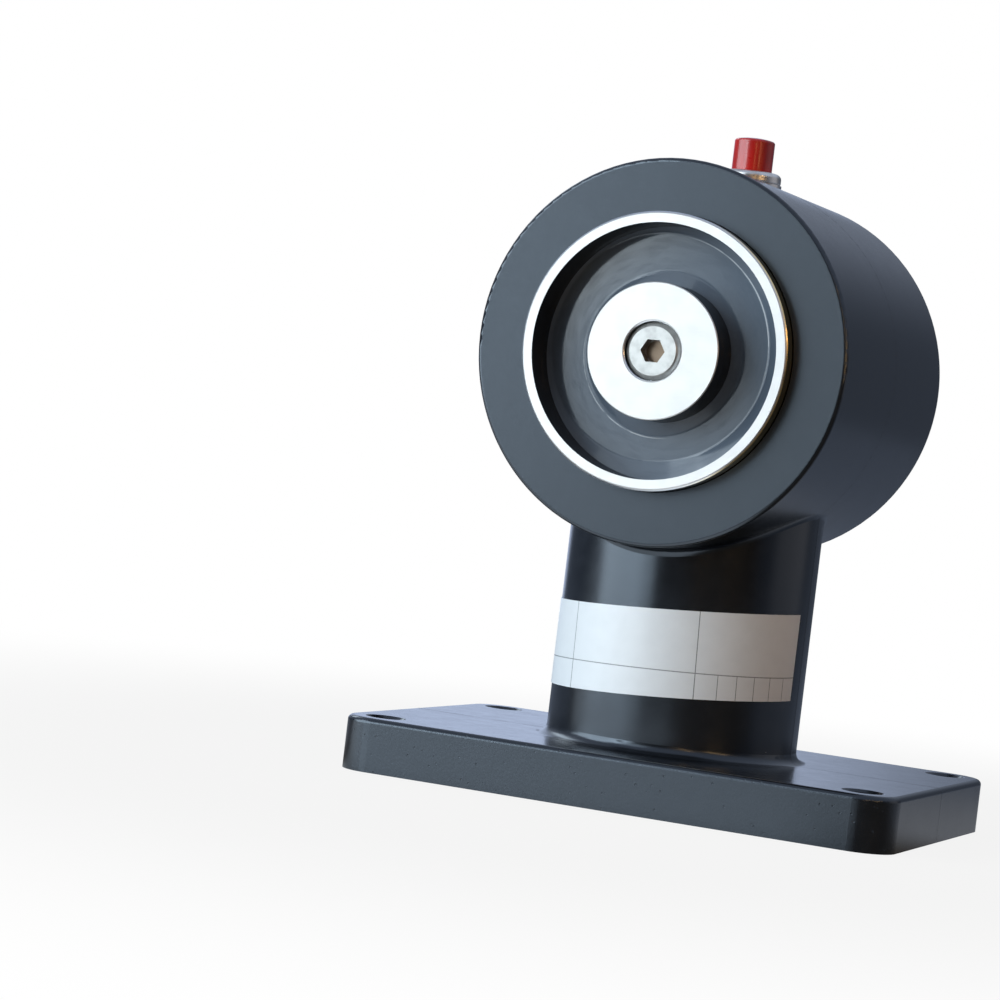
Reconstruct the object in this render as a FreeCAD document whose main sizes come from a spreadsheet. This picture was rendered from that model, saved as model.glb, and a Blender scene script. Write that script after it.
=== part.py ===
import FreeCAD, Part
import math
import os
import re
import Sketcher

# Electromagnetic door holder with a push-to-release button, standing on its base.
# Millimetres, +Z up. The origin is the centre of the base's underside, the magnet
# looks along -Y and the neck stands on the Z axis.

V = FreeCAD.Vector

SIZES = {
    # Base plate and its four screw holes
    "base_length": 106.0,
    "base_width": 73.0,
    "base_thick": 10.0,
    "base_corner": 7.0,
    "base_edge_round": 1.0,
    "base_hole_inset": 7.0,
    "base_hole_dia": 6.6,
    "base_hole_rim_dia": 7.6,
    # Neck with the wiring duct inside
    "neck_length": 37.5,
    "neck_wall": 5.7,
    "neck_foot_round": 2.0,
    "neck_top_round": 1.5,
    # Drum head
    "drum_shoulder": 10.0,
    "drum_front_round": 0.8,
    "drum_back_round": 1.6,
    "drum_wall": 5.0,
    "front_wall": 10.0,
    "boss_wall": 3.5,
    "boss_thread_spare": 3.0,
    # Pot magnet
    "pot_dia": 50.0,
    "pot_length": 32.0,
    "pot_proud": 3.5,
    "pot_clearance": 0.15,
    "pot_rim": 2.0,
    "pot_back": 6.0,
    "pot_edge_bevel": 0.4,
    "pole_edge_bevel": 0.2,
    "groove_width": 10.6,
    "recess_depth": 8.5,
    "lead_hole_dia": 5.0,
    # Coil inside the pot
    "coil_clearance": 0.1,
    "winding_room": 0.4,
    "bobbin_wall": 1.2,
    "bobbin_flange": 1.4,
    "resin_depth": 3.0,
    "meniscus_height": 0.8,
    "meniscus_width": 3.2,
    "bushing_bore": 2.6,
    "bushing_collar_dia": 8.0,
    "bushing_collar_thick": 1.2,
    # Pole screw, a low-head socket cap screw
    "screw_dia": 6.0,
    "screw_engagement": 12.2,
    "screw_head_dia": 10.4,
    "screw_head_height": 4.0,
    "screw_head_sunk": 0.2,
    "screw_head_bevel": 0.8,
    "screw_tip_bevel": 0.8,
    "screw_socket_across": 4.0,
    "screw_socket_depth": 2.4,
    "thread_clearance": 0.05,
    "counterbore_room": 0.15,
    "counterbore_bevel": 0.3,
    # Button switch, upright in the top of the drum
    "switch_gap": 5.0,
    "switch_room": 14.5,
    "spot_face_room": 0.3,
    "spot_face_drop": 0.25,
    "switch_pad_dia": 16.0,
    "switch_pad_drop": 1.2,
    "bush_wall": 0.5,
    "bush_clearance": 0.15,
    "bush_flange_step": 0.5,
    "bush_flange_thick": 1.5,
    "washer_lip": 0.2,
    "washer_thick": 0.6,
    "ring_nut_wall": 1.3,
    "ring_nut_height": 2.15,
    "ring_nut_foot_bevel": 0.35,
    "ring_nut_lip": 0.3,
    "cap_dia": 7.7,
    "cap_height": 9.0,
    "cap_dome": 0.5,
    "cap_seat_depth": 2.5,
    "cap_clearance": 0.15,
    "cap_foot_gap": 0.4,
    "cap_edge_round": 0.5,
    "plunger_dia": 3.2,
    "plunger_clearance": 0.05,
    "plunger_grip": 5.0,
    "button_travel": 2.0,
    "body_cavity_dia": 10.4,
    "body_wall": 1.8,
    "body_height": 14.0,
    "body_floor": 2.0,
    "contact_drop": 4.0,
    "contact_gap": 0.05,
    "strip_thick": 0.6,
    "strip_width": 2.4,
    "strip_inset": 0.2,
    "strip_reach": 3.0,
    "strip_tail": 4.0,
    "bridge_room": 0.8,
    "bridge_thick": 0.6,
    "spigot_dia": 2.2,
    "spigot_length": 1.2,
    "spring_wire": 0.4,
    "spring_mean_dia": 5.0,
    "spring_turns": 4.0,
    "spring_clearance": 0.05,
    # Supply terminal in the duct
    "lug_width": 14.0,
    "lug_lip": 3.5,
    "lug_thick": 5.0,
    "block_wall": 1.25,
    "block_depth": 14.0,
    "block_height": 11.0,
    "block_corner": 1.0,
    "block_recess": 2.5,
    "block_back": 6.5,
    "block_room": 1.3,
    "clamp_web": 0.8,
    "clamp_rise": 6.0,
    "clamp_dia": 5.0,
    "clamp_end_gap": 1.0,
    "clamp_bore": 2.8,
    "clamp_screw_dia": 2.6,
    "clamp_screw_spacing": 6.5,
    "clamp_screw_length": 4.5,
    "clamp_well_room": 0.2,
    "screw_slot": 0.7,
    "fixing_screw_dia": 3.0,
    "fixing_screw_length": 10.0,
    "fixing_head_dia": 5.4,
    "fixing_head_height": 2.0,
    "fixing_head_seat": 5.5,
    "diode_dia": 2.7,
    "diode_length": 5.2,
    "diode_lead_dia": 0.8,
    "diode_lead_grip": 5.0,
    "diode_stand_off": 5.0,
    "diode_bend": 1.6,
    # Rating label on the neck
    "label_height": 16.0,
    "label_angle": 160.0,
    "label_above_middle": 0.15,
    "label_tilt": 3.1,
    "label_lean": 1.1,
    "label_thick": 0.15,
    "label_gap": 0.02,
}

doc = FreeCAD.newDocument("door_holder")
sheet = doc.addObject("Spreadsheet::Sheet", "Sizes")
for row, (alias, value) in enumerate(SIZES.items(), start=1):
    sheet.set("A%d" % row, alias)
    sheet.set("B%d" % row, str(value))
    sheet.setAlias("B%d" % row, alias)
doc.recompute()


def dim(text):
    """Expression text with each size name pointed at its cell."""
    return re.sub(r"[a-z][a-z_]*", lambda m: "Sizes." + m.group() if m.group() in SIZES else m.group(), text)


# Sizes and places that several pieces share, as formulas of the driving sizes
DRUM_RADIUS = "(pot_dia / 2 + drum_shoulder)"
CHAMBER_RADIUS = "(pot_dia / 2 + drum_shoulder - drum_wall)"
BODY_RADIUS = "(body_cavity_dia / 2 + body_wall)"
DRUM_LENGTH = f"(pot_length - pot_proud + switch_gap + 2 * {BODY_RADIUS} + switch_room + drum_wall)"
DRUM_FRONT = f"(-{DRUM_LENGTH} / 2)"
DRUM_BACK = f"({DRUM_LENGTH} / 2)"
AXIS_HEIGHT = f"(base_thick + neck_length + {DRUM_RADIUS})"

POLE_FACE = f"({DRUM_FRONT} - pot_proud)"
POT_BACK = f"({POLE_FACE} + pot_length)"
GROOVE_FLOOR = f"({POT_BACK} - pot_back)"
GROOVE_RADIUS = "(pot_dia / 2 - pot_rim)"
POLE_RADIUS = "(pot_dia / 2 - pot_rim - groove_width)"
BOSS_RADIUS = "(screw_dia / 2 + boss_wall)"
LEAD_RADIUS = f"({POLE_RADIUS} + groove_width / 2)"
RESIN_FACE = f"({POLE_FACE} + recess_depth)"
RESIN_BACK = f"({RESIN_FACE} + resin_depth)"
HEAD_FACE = f"({POLE_FACE} + screw_head_sunk)"
HEAD_SEAT = f"({HEAD_FACE} + screw_head_height)"
COUNTERBORE_RADIUS = "(screw_head_dia / 2 + counterbore_room)"

SWITCH_BACK = f"({POT_BACK} + switch_gap + {BODY_RADIUS})"
BUSH_BORE = "(cap_dia / 2 + cap_clearance)"
BUSH_RADIUS = "(cap_dia / 2 + cap_clearance + bush_wall)"
RING_NUT_RADIUS = f"({BUSH_RADIUS} + ring_nut_wall)"
WASHER_RADIUS = f"({RING_NUT_RADIUS} + washer_lip)"
SPOT_FACE = f"({AXIS_HEIGHT} + {DRUM_RADIUS} - spot_face_drop)"
NUT_FOOT = f"({SPOT_FACE} + washer_thick)"
NUT_TOP = f"({NUT_FOOT} + ring_nut_height)"
CAP_FOOT = f"({NUT_TOP} - cap_seat_depth)"
BUSH_FLOOR = f"({CAP_FOOT} - button_travel - cap_foot_gap)"
SWITCH_SEAT = f"({AXIS_HEIGHT} + {CHAMBER_RADIUS} - switch_pad_drop)"
FLANGE_UNDER = f"({SWITCH_SEAT} - bush_flange_thick)"
BODY_FOOT = f"({FLANGE_UNDER} - body_height)"
SPRING_FOOT = f"({BODY_FOOT} + body_floor)"
CONTACT_UNDER = f"({FLANGE_UNDER} - contact_drop)"
BRIDGE_TOP = f"({CONTACT_UNDER} - contact_gap)"
BRIDGE_FOOT = f"({BRIDGE_TOP} - bridge_thick)"
STRIP_OFFSET = "(body_cavity_dia / 2 + strip_inset)"

CLAMP_SPACING = "(fixing_head_dia + clamp_dia + 2 * clamp_web)"
CLAMP_HEIGHT = "(block_recess + clamp_rise)"
BLOCK_LENGTH = f"({CLAMP_SPACING} + clamp_dia + 2 * block_wall)"
BLOCK_FRONT = "(block_back - block_depth / 2)"
BLOCK_REACH = "(block_back + block_depth / 2)"
LUG_FOOT = "(block_recess + block_height)"
DUCT_RADIUS = (f"(sqrt({BLOCK_LENGTH} * {BLOCK_LENGTH} / 4 + {BLOCK_REACH} * {BLOCK_REACH})"
               " + block_room)")
NECK_RADIUS = f"({DUCT_RADIUS} + neck_wall)"
LABEL_MIDDLE = "(base_thick + neck_length / 2 + label_above_middle)"


def new_body(name):
    """Empty PartDesign body that carries the sub-part's name."""
    body = doc.addObject("PartDesign::Body", name)
    body.Label = name
    return body


def add_sketch(body, name, role, along_x="0", along_y="0", off_plane="0"):
    """Sketch on one of the body's own origin planes, shifted by formulas."""
    sketch = body.newObject("Sketcher::SketchObject", name)
    plane = [f for f in body.Origin.OriginFeatures if f.Role == role][0]
    sketch.AttachmentSupport = [(plane, "")]
    sketch.MapMode = "FlatFace"
    for axis, text in (("x", along_x), ("y", along_y), ("z", off_plane)):
        if text != "0":
            sketch.setExpression("AttachmentOffset.Base." + axis, dim(text))
    return sketch


def fix_point(sketch, geometry, position, across, up):
    """Hold a sketch point at two formulas, or on the axis where a formula is 0."""
    for kind, axis, text in (("DistanceX", -2, across), ("DistanceY", -1, up)):
        if text == "0":
            sketch.addConstraint(Sketcher.Constraint("PointOnObject", geometry, position, axis))
            continue
        index = sketch.addConstraint(Sketcher.Constraint(kind, geometry, position, number(text)))
        sketch.setExpression("Constraints[%d]" % index, dim(text))


def number(text):
    """Present value of a formula, for the first guess of a sketch."""
    return float(sheet.evalExpression(dim(text).replace("Sizes.", "")))


def add_outline(sketch, corners, arcs=None):
    """Closed outline through corners given as formulas, of straight sides and arcs.

    arcs names the sides that are bowed: each has a radius and a point that it passes.
    """
    arcs = arcs or {}
    points = [V(number(across), number(up), 0) for across, up in corners]
    first = sketch.GeometryCount
    count = len(points)
    ends = []
    for i in range(count):
        start, end = points[i], points[(i + 1) % count]
        if i in arcs:
            middle = V(number(arcs[i][1][0]), number(arcs[i][1][1]), 0)
            sketch.addGeometry(Part.Arc(start, middle, end), False)
        else:
            sketch.addGeometry(Part.LineSegment(start, end), False)
        begins = sketch.getPoint(first + i, 1)
        forward = (begins - start).Length < (begins - end).Length
        ends.append((1, 2) if forward else (2, 1))
    for i in range(count):
        after = (i + 1) % count
        sketch.addConstraint(
            Sketcher.Constraint("Coincident", first + i, ends[i][1], first + after, ends[after][0]))
    for i, (across, up) in enumerate(corners):
        fix_point(sketch, first + i, ends[i][0], across, up)
    for i, (radius, _) in arcs.items():
        size = sketch.addConstraint(Sketcher.Constraint("Radius", first + i, number(radius)))
        sketch.setExpression("Constraints[%d]" % size, dim(radius))
    return first


def add_circle(sketch, across, up, radius):
    """Full circle held at a centre with a radius, all given as formulas."""
    centre = V(number(across), number(up), 0)
    index = sketch.addGeometry(Part.Circle(centre, V(0, 0, 1), number(radius)), False)
    fix_point(sketch, index, 3, across, up)
    size = sketch.addConstraint(Sketcher.Constraint("Radius", index, number(radius)))
    sketch.setExpression("Constraints[%d]" % size, dim(radius))
    return index


def add_block_outline(sketch, left, right, low, high):
    """Closed rectangle between four formulas."""
    add_outline(sketch, [(left, low), (right, low), (right, high), (left, high)])


def add_feature(body, kind, name, sketch, **settings):
    """Pad, Pocket, Revolution or Groove of a sketch; text settings are formulas."""
    feature = body.newObject("PartDesign::" + kind, name)
    feature.Profile = sketch
    sketch.Visibility = False
    for key, value in settings.items():
        if isinstance(value, str) and key in ("Length", "Angle"):
            feature.setExpression(key, dim(value))
        else:
            setattr(feature, key, value)
    doc.recompute()
    return feature


def turn(body, name, corners, role="YZ_Plane", centre_height="0", kind="Revolution", arcs=None):
    """Full turn of a closed half profile about the plane's first or second axis."""
    sketch = add_sketch(body, name + "_profile", role, along_y=centre_height)
    add_outline(sketch, corners, arcs)
    axis = "H_Axis" if role == "YZ_Plane" else "V_Axis"
    return add_feature(body, kind, name, sketch, ReferenceAxis=(sketch, [axis]), Angle=360.0)


def bow(half, rise):
    """Radius of an arc from half its chord and its rise, as a formula."""
    return f"(({half}) * ({half}) + ({rise}) * ({rise})) / (2 * ({rise}))"


def edges_of(feature, test):
    """Names of the feature's edges that pass a test."""
    return ["Edge%d" % (i + 1) for i, edge in enumerate(feature.Shape.Edges) if test(edge)]


def dress(body, kind, name, base, edges, size):
    """Fillet on named edges, its radius a formula."""
    feature = body.newObject("PartDesign::" + kind, name)
    feature.Base = (base, edges)
    feature.setExpression("Radius", dim(size))
    doc.recompute()
    return feature


def is_circle(edge, radius, centre, direction, slack=0.01):
    """True for a whole circle of that radius round that centre."""
    if edge.Degenerated:
        return False
    curve = edge.Curve
    if not isinstance(curve, Part.Circle) or abs(curve.Radius - radius) > slack:
        return False
    if curve.Axis.cross(direction).Length > slack:
        return False
    return (curve.Center - centre).Length < slack


def is_saddle(edge, low, high):
    """True for an edge of the curve where the neck runs into the drum."""
    box = edge.BoundBox
    return box.ZMin > low - 0.1 and box.ZMax < high and box.ZLength > 1 and box.YLength > 1


def group(name, pieces):
    """Like pieces side by side, as one named sub-part of separate solids."""
    holder = doc.addObject("Part::Compound", name)
    holder.Label = name
    holder.Links = pieces
    doc.recompute()
    return holder


def raise_to(body, height):
    """Lift a body that was made round the origin to its height."""
    body.setExpression("Placement.Base.z", dim(height))
    doc.recompute()
    return body


def housing():
    """Base plate, neck and drum as one casting, cored for the magnet and the wires."""
    body = new_body("housing")
    up = V(0, 0, 1)
    along = V(0, 1, 0)
    thick = number("base_thick")
    axis_height = number(AXIS_HEIGHT)
    drum_radius = number(DRUM_RADIUS)
    front = number(DRUM_FRONT)
    back = number(DRUM_BACK)

    # Base plate with round corners and a softened top edge
    plate = add_sketch(body, "base_outline", "XY_Plane")
    add_block_outline(plate, "-base_length / 2", "base_length / 2", "-base_width / 2", "base_width / 2")
    base = add_feature(body, "Pad", "base_plate", plate, Length="base_thick")
    base = dress(body, "Fillet", "base_corners", base,
                 edges_of(base, lambda e: e.BoundBox.ZLength > thick - 0.01), "base_corner")
    base = dress(body, "Fillet", "base_top_edge", base,
                 edges_of(base, lambda e: e.BoundBox.ZMin > thick - 0.01), "base_edge_round")

    # Neck and drum
    stem = add_sketch(body, "neck_circle", "XY_Plane")
    add_circle(stem, "0", "0", NECK_RADIUS)
    add_feature(body, "Pad", "neck", stem, Length=AXIS_HEIGHT)
    drum = turn(body, "drum", [
        (DRUM_FRONT, "0"), (DRUM_BACK, "0"), (DRUM_BACK, DRUM_RADIUS), (DRUM_FRONT, DRUM_RADIUS),
    ], centre_height=AXIS_HEIGHT)

    # Roundings: neck foot, saddle under the drum and the drum's two rims
    drum = dress(body, "Fillet", "neck_foot", drum,
                 edges_of(drum, lambda e: is_circle(e, number(NECK_RADIUS), V(0, 0, thick), up)),
                 "neck_foot_round")
    drum = dress(body, "Fillet", "neck_saddle", drum,
                 edges_of(drum, lambda e: is_saddle(e, axis_height - drum_radius, axis_height)),
                 "neck_top_round")
    drum = dress(body, "Fillet", "drum_front_edge", drum,
                 edges_of(drum, lambda e: is_circle(e, drum_radius, V(0, front, axis_height), along)),
                 "drum_front_round")
    dress(body, "Fillet", "drum_back_edge", drum,
          edges_of(drum, lambda e: is_circle(e, drum_radius, V(0, back, axis_height), along)),
          "drum_back_round")

    # Cored chamber with the magnet's bore in front and a tapped boss on the back wall
    bore = "(pot_dia / 2 + pot_clearance)"
    tapped = "(screw_dia / 2 + thread_clearance)"
    thread_end = f"({POT_BACK} + screw_engagement + boss_thread_spare)"
    ahead = f"({DRUM_FRONT} - pot_proud)"
    turn(body, "chamber", [
        (ahead, "0"),
        (ahead, bore),
        (f"({DRUM_FRONT} + front_wall)", bore),
        (f"({DRUM_FRONT} + front_wall)", CHAMBER_RADIUS),
        (f"({DRUM_BACK} - drum_wall)", CHAMBER_RADIUS),
        (f"({DRUM_BACK} - drum_wall)", BOSS_RADIUS),
        (POT_BACK, BOSS_RADIUS),
        (POT_BACK, tapped),
        (thread_end, tapped),
        (thread_end, "0"),
    ], centre_height=AXIS_HEIGHT, kind="Groove")

    # Wiring duct from the underside up into the chamber
    duct = add_sketch(body, "duct_circle", "XY_Plane")
    add_circle(duct, "0", "0", DUCT_RADIUS)
    add_feature(body, "Pocket", "duct", duct, Reversed=True, Length=f"{AXIS_HEIGHT} - 2 * {BOSS_RADIUS}")

    # Lug on the duct's back wall that carries the supply terminal
    lug = add_sketch(body, "lug_outline", "XY_Plane", off_plane=LUG_FOOT)
    add_block_outline(lug, "-lug_width / 2", "lug_width / 2",
                      "block_back - lug_lip", f"{DUCT_RADIUS} + neck_wall / 4")
    add_feature(body, "Pad", "terminal_lug", lug, Length="lug_thick")
    tap = add_sketch(body, "lug_hole_circle", "XY_Plane", off_plane=LUG_FOOT)
    add_circle(tap, "0", "block_back", "fixing_screw_dia / 2 + thread_clearance")
    add_feature(body, "Pocket", "lug_hole", tap, Reversed=True, Length="lug_thick")

    # Flat seat inside and spot face outside for the button switch, and its hole
    pad = add_sketch(body, "switch_pad_circle", "XY_Plane", off_plane=SWITCH_SEAT)
    add_circle(pad, "0", SWITCH_BACK, "switch_pad_dia / 2")
    add_feature(body, "Pad", "switch_pad", pad, Length="drum_wall / 2 + switch_pad_drop")
    spot = add_sketch(body, "spot_face_circle", "XY_Plane", off_plane=SPOT_FACE)
    add_circle(spot, "0", SWITCH_BACK, f"{WASHER_RADIUS} + spot_face_room")
    add_feature(body, "Pocket", "spot_face", spot, Reversed=True, Length="2 * spot_face_drop")
    hole = add_sketch(body, "switch_hole_circle", "XY_Plane", off_plane=FLANGE_UNDER)
    add_circle(hole, "0", SWITCH_BACK, f"{BUSH_RADIUS} + bush_clearance")
    add_feature(body, "Pocket", "switch_hole", hole, Reversed=True,
                Length=f"{SPOT_FACE} - {FLANGE_UNDER} + spot_face_drop")

    # Four screw holes with a broken rim
    marks = add_sketch(body, "base_hole_circles", "XY_Plane", off_plane="base_thick")
    for side_x in ("-", ""):
        for side_y in ("-", ""):
            add_circle(marks, side_x + "(base_length / 2 - base_hole_inset)",
                       side_y + "(base_width / 2 - base_hole_inset)", "base_hole_dia / 2")
    marks.Visibility = False
    doc.recompute()
    holes = body.newObject("PartDesign::Hole", "base_holes")
    holes.Profile = marks
    doc.recompute()
    holes.Threaded = False
    holes.DepthType = "ThroughAll"
    holes.setExpression("Diameter", dim("base_hole_dia"))
    holes.HoleCutType = "Countersink"
    holes.HoleCutCustomValues = True
    holes.setExpression("HoleCutDiameter", dim("base_hole_rim_dia"))
    holes.HoleCutCountersinkAngle = 90.0
    doc.recompute()
    return body


def magnet_pot():
    """Steel pot and centre pole, turned from one bar, with the coil's groove."""
    body = new_body("magnet_pot")
    through = "(screw_dia / 2 + pot_clearance)"
    turn(body, "pot", [
        (POT_BACK, through),
        (POT_BACK, "pot_dia / 2 - pot_edge_bevel"),
        (f"{POT_BACK} - pot_edge_bevel", "pot_dia / 2"),
        (f"{POLE_FACE} + pot_edge_bevel", "pot_dia / 2"),
        (POLE_FACE, "pot_dia / 2 - pot_edge_bevel"),
        (POLE_FACE, GROOVE_RADIUS),
        (GROOVE_FLOOR, GROOVE_RADIUS),
        (GROOVE_FLOOR, POLE_RADIUS),
        (f"{POLE_FACE} + pole_edge_bevel", POLE_RADIUS),
        (POLE_FACE, f"{POLE_RADIUS} - pole_edge_bevel"),
        (POLE_FACE, f"{COUNTERBORE_RADIUS} + counterbore_bevel"),
        (f"{POLE_FACE} + counterbore_bevel", COUNTERBORE_RADIUS),
        (HEAD_SEAT, COUNTERBORE_RADIUS),
        (HEAD_SEAT, through),
    ])
    # Hole in the back for the coil's two leads
    lead = add_sketch(body, "lead_hole_circle", "XZ_Plane", off_plane=f"-{POT_BACK}")
    add_circle(lead, "0", f"-{LEAD_RADIUS}", "lead_hole_dia / 2")
    add_feature(body, "Pocket", "lead_hole", lead, Reversed=True,
                Length=f"{POT_BACK} - {GROOVE_FLOOR} + pot_clearance")
    return raise_to(body, AXIS_HEIGHT)


def coil_bobbin():
    """Moulded bobbin that fits the pot's groove round the pole."""
    body = new_body("coil_bobbin")
    inner = f"({POLE_RADIUS} + coil_clearance)"
    outer = f"({GROOVE_RADIUS} - coil_clearance)"
    turn(body, "bobbin", [
        (RESIN_BACK, inner),
        (GROOVE_FLOOR, inner),
        (GROOVE_FLOOR, outer),
        (f"{GROOVE_FLOOR} - bobbin_flange", outer),
        (f"{GROOVE_FLOOR} - bobbin_flange", f"{inner} + bobbin_wall"),
        (f"{RESIN_BACK} + bobbin_flange", f"{inner} + bobbin_wall"),
        (f"{RESIN_BACK} + bobbin_flange", outer),
        (RESIN_BACK, outer),
    ])
    return raise_to(body, AXIS_HEIGHT)


def coil_winding():
    """Enamelled copper winding, one solid ring between the bobbin's flanges."""
    body = new_body("coil_winding")
    inner = f"{POLE_RADIUS} + coil_clearance + bobbin_wall"
    outer = f"{GROOVE_RADIUS} - winding_room"
    turn(body, "winding", [
        (f"{RESIN_BACK} + bobbin_flange", inner),
        (f"{GROOVE_FLOOR} - bobbin_flange", inner),
        (f"{GROOVE_FLOOR} - bobbin_flange", outer),
        (f"{RESIN_BACK} + bobbin_flange", outer),
    ])
    return raise_to(body, AXIS_HEIGHT)


def potting_resin():
    """Cast resin ring over the coil; its flat face creeps up both walls in a meniscus."""
    body = new_body("potting_resin")
    rim = f"({RESIN_FACE} - meniscus_height)"
    creep = bow("meniscus_width", "meniscus_height")
    on_creep = f"({RESIN_FACE} - meniscus_height / 5)"
    turn(body, "resin", [
        (rim, POLE_RADIUS),
        (RESIN_FACE, f"{POLE_RADIUS} + meniscus_width"),
        (RESIN_FACE, f"{GROOVE_RADIUS} - meniscus_width"),
        (rim, GROOVE_RADIUS),
        (RESIN_BACK, GROOVE_RADIUS),
        (RESIN_BACK, POLE_RADIUS),
    ], arcs={
        0: (creep, (on_creep, f"{POLE_RADIUS} + meniscus_width / 2")),
        2: (creep, (on_creep, f"{GROOVE_RADIUS} - meniscus_width / 2")),
    })
    return raise_to(body, AXIS_HEIGHT)


def lead_bushing():
    """Bushing in the pot's back that carries the two coil leads out."""
    body = new_body("lead_bushing")
    inner_end = f"{GROOVE_FLOOR} + coil_clearance"
    collar = f"{POT_BACK} + bushing_collar_thick"
    barrel = "lead_hole_dia / 2 - coil_clearance"
    turn(body, "bushing", [
        (inner_end, "bushing_bore / 2"),
        (collar, "bushing_bore / 2"),
        (collar, "bushing_collar_dia / 2"),
        (POT_BACK, "bushing_collar_dia / 2"),
        (POT_BACK, barrel),
        (inner_end, barrel),
    ])
    return raise_to(body, f"{AXIS_HEIGHT} - {LEAD_RADIUS}")


def magnet_screw():
    """Low-head socket cap screw through the pole into the boss."""
    body = new_body("magnet_screw")
    tip = f"({POT_BACK} + screw_engagement)"
    turn(body, "screw", [
        (HEAD_FACE, "0"),
        (HEAD_FACE, "screw_head_dia / 2 - screw_head_bevel"),
        (f"{HEAD_FACE} + screw_head_bevel", "screw_head_dia / 2"),
        (HEAD_SEAT, "screw_head_dia / 2"),
        (HEAD_SEAT, "screw_dia / 2"),
        (f"{tip} - screw_tip_bevel", "screw_dia / 2"),
        (tip, "screw_dia / 2 - screw_tip_bevel"),
        (tip, "0"),
    ])
    # Hexagon socket with two corners on the head's level line
    socket = add_sketch(body, "socket_outline", "XZ_Plane", off_plane=f"-{HEAD_FACE}")
    reach = "screw_socket_across / sqrt(3)"
    corners = [(reach, "0")]
    corners += [(f"{side}{reach} / 2", f"{lift}screw_socket_across / 2")
                for side, lift in (("", ""), ("-", ""))]
    corners += [(f"-{reach}", "0")]
    corners += [(f"{side}{reach} / 2", f"{lift}screw_socket_across / 2")
                for side, lift in (("-", "-"), ("", "-"))]
    add_outline(socket, corners)
    add_feature(body, "Pocket", "socket", socket, Length="screw_socket_depth")
    return raise_to(body, AXIS_HEIGHT)


def turned_on_switch(name, corners, arcs=None):
    """Piece turned about the switch's upright axis, and its last feature."""
    body = new_body(name)
    feature = turn(body, name + "_turned", corners, role="XZ_Plane", arcs=arcs)
    body.setExpression("Placement.Base.y", dim(SWITCH_BACK))
    doc.recompute()
    return body, feature


def switch_bush():
    """Threaded bush: the cap slides in its mouth and the plunger in its bore."""
    guide = "plunger_dia / 2 + plunger_clearance"
    return turned_on_switch("switch_bush", [
        (guide, FLANGE_UNDER),
        (f"{BODY_RADIUS} - bush_flange_step", FLANGE_UNDER),
        (f"{BODY_RADIUS} - bush_flange_step", SWITCH_SEAT),
        (BUSH_RADIUS, SWITCH_SEAT),
        (BUSH_RADIUS, NUT_TOP),
        (BUSH_BORE, NUT_TOP),
        (BUSH_BORE, BUSH_FLOOR),
        (guide, BUSH_FLOOR),
    ])[0]


def switch_washer():
    """Thin washer between the spot face and the ring nut."""
    hole = f"{BUSH_RADIUS} + bush_clearance"
    return turned_on_switch("switch_washer", [
        (hole, SPOT_FACE), (WASHER_RADIUS, SPOT_FACE), (WASHER_RADIUS, NUT_FOOT), (hole, NUT_FOOT),
    ])[0]


def switch_ring_nut():
    """Ring nut with a bevelled foot and a domed shoulder."""
    hole = f"{BUSH_RADIUS} + thread_clearance"
    body, nut = turned_on_switch("switch_ring_nut", [
        (hole, NUT_FOOT),
        (f"{RING_NUT_RADIUS} - ring_nut_foot_bevel", NUT_FOOT),
        (RING_NUT_RADIUS, f"{NUT_FOOT} + ring_nut_foot_bevel"),
        (RING_NUT_RADIUS, NUT_TOP),
        (hole, NUT_TOP),
    ])
    rim = V(0, 0, number(NUT_TOP))
    dress(body, "Fillet", "domed_shoulder", nut,
          edges_of(nut, lambda e: is_circle(e, number(RING_NUT_RADIUS), rim, V(0, 0, 1))),
          "ring_nut_wall - ring_nut_lip")
    return body


def button_cap():
    """Red cap with a domed top, pressed on the plunger; its foot stands in the bush's mouth."""
    grip = f"({CAP_FOOT} + plunger_grip)"
    crown = f"({CAP_FOOT} + cap_height)"
    shoulder = f"({crown} - cap_dome)"
    dome = bow("cap_dia / 2", "cap_dome")
    halfway = f"({crown} - ({dome}) + sqrt(({dome}) * ({dome}) - cap_dia * cap_dia / 16))"
    body, cap = turned_on_switch("button_cap", [
        ("0", grip),
        ("plunger_dia / 2", grip),
        ("plunger_dia / 2", CAP_FOOT),
        ("cap_dia / 2", CAP_FOOT),
        ("cap_dia / 2", shoulder),
        ("0", crown),
    ], arcs={4: (dome, ("cap_dia / 4", halfway))})
    rim = V(0, 0, number(shoulder))
    dress(body, "Fillet", "cap_edge", cap,
          edges_of(cap, lambda e: is_circle(e, number("cap_dia / 2"), rim, V(0, 0, 1))), "cap_edge_round")
    return body


def button_plunger():
    """Plunger from the cap through the bush to the contact bridge."""
    grip = f"({CAP_FOOT} + plunger_grip)"
    return turned_on_switch("button_plunger", [
        ("0", f"{BRIDGE_TOP} - spigot_length"),
        ("spigot_dia / 2", f"{BRIDGE_TOP} - spigot_length"),
        ("spigot_dia / 2", BRIDGE_TOP),
        ("plunger_dia / 2", BRIDGE_TOP),
        ("plunger_dia / 2", grip),
        ("0", grip),
    ])[0]


def contact_bridge():
    """Moving contact disc; pressing the button takes it off the two strips."""
    edge = "body_cavity_dia / 2 - bridge_room"
    return turned_on_switch("contact_bridge", [
        ("spigot_dia / 2", BRIDGE_FOOT),
        (edge, BRIDGE_FOOT),
        (edge, BRIDGE_TOP),
        ("spigot_dia / 2", BRIDGE_TOP),
    ])[0]


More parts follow.
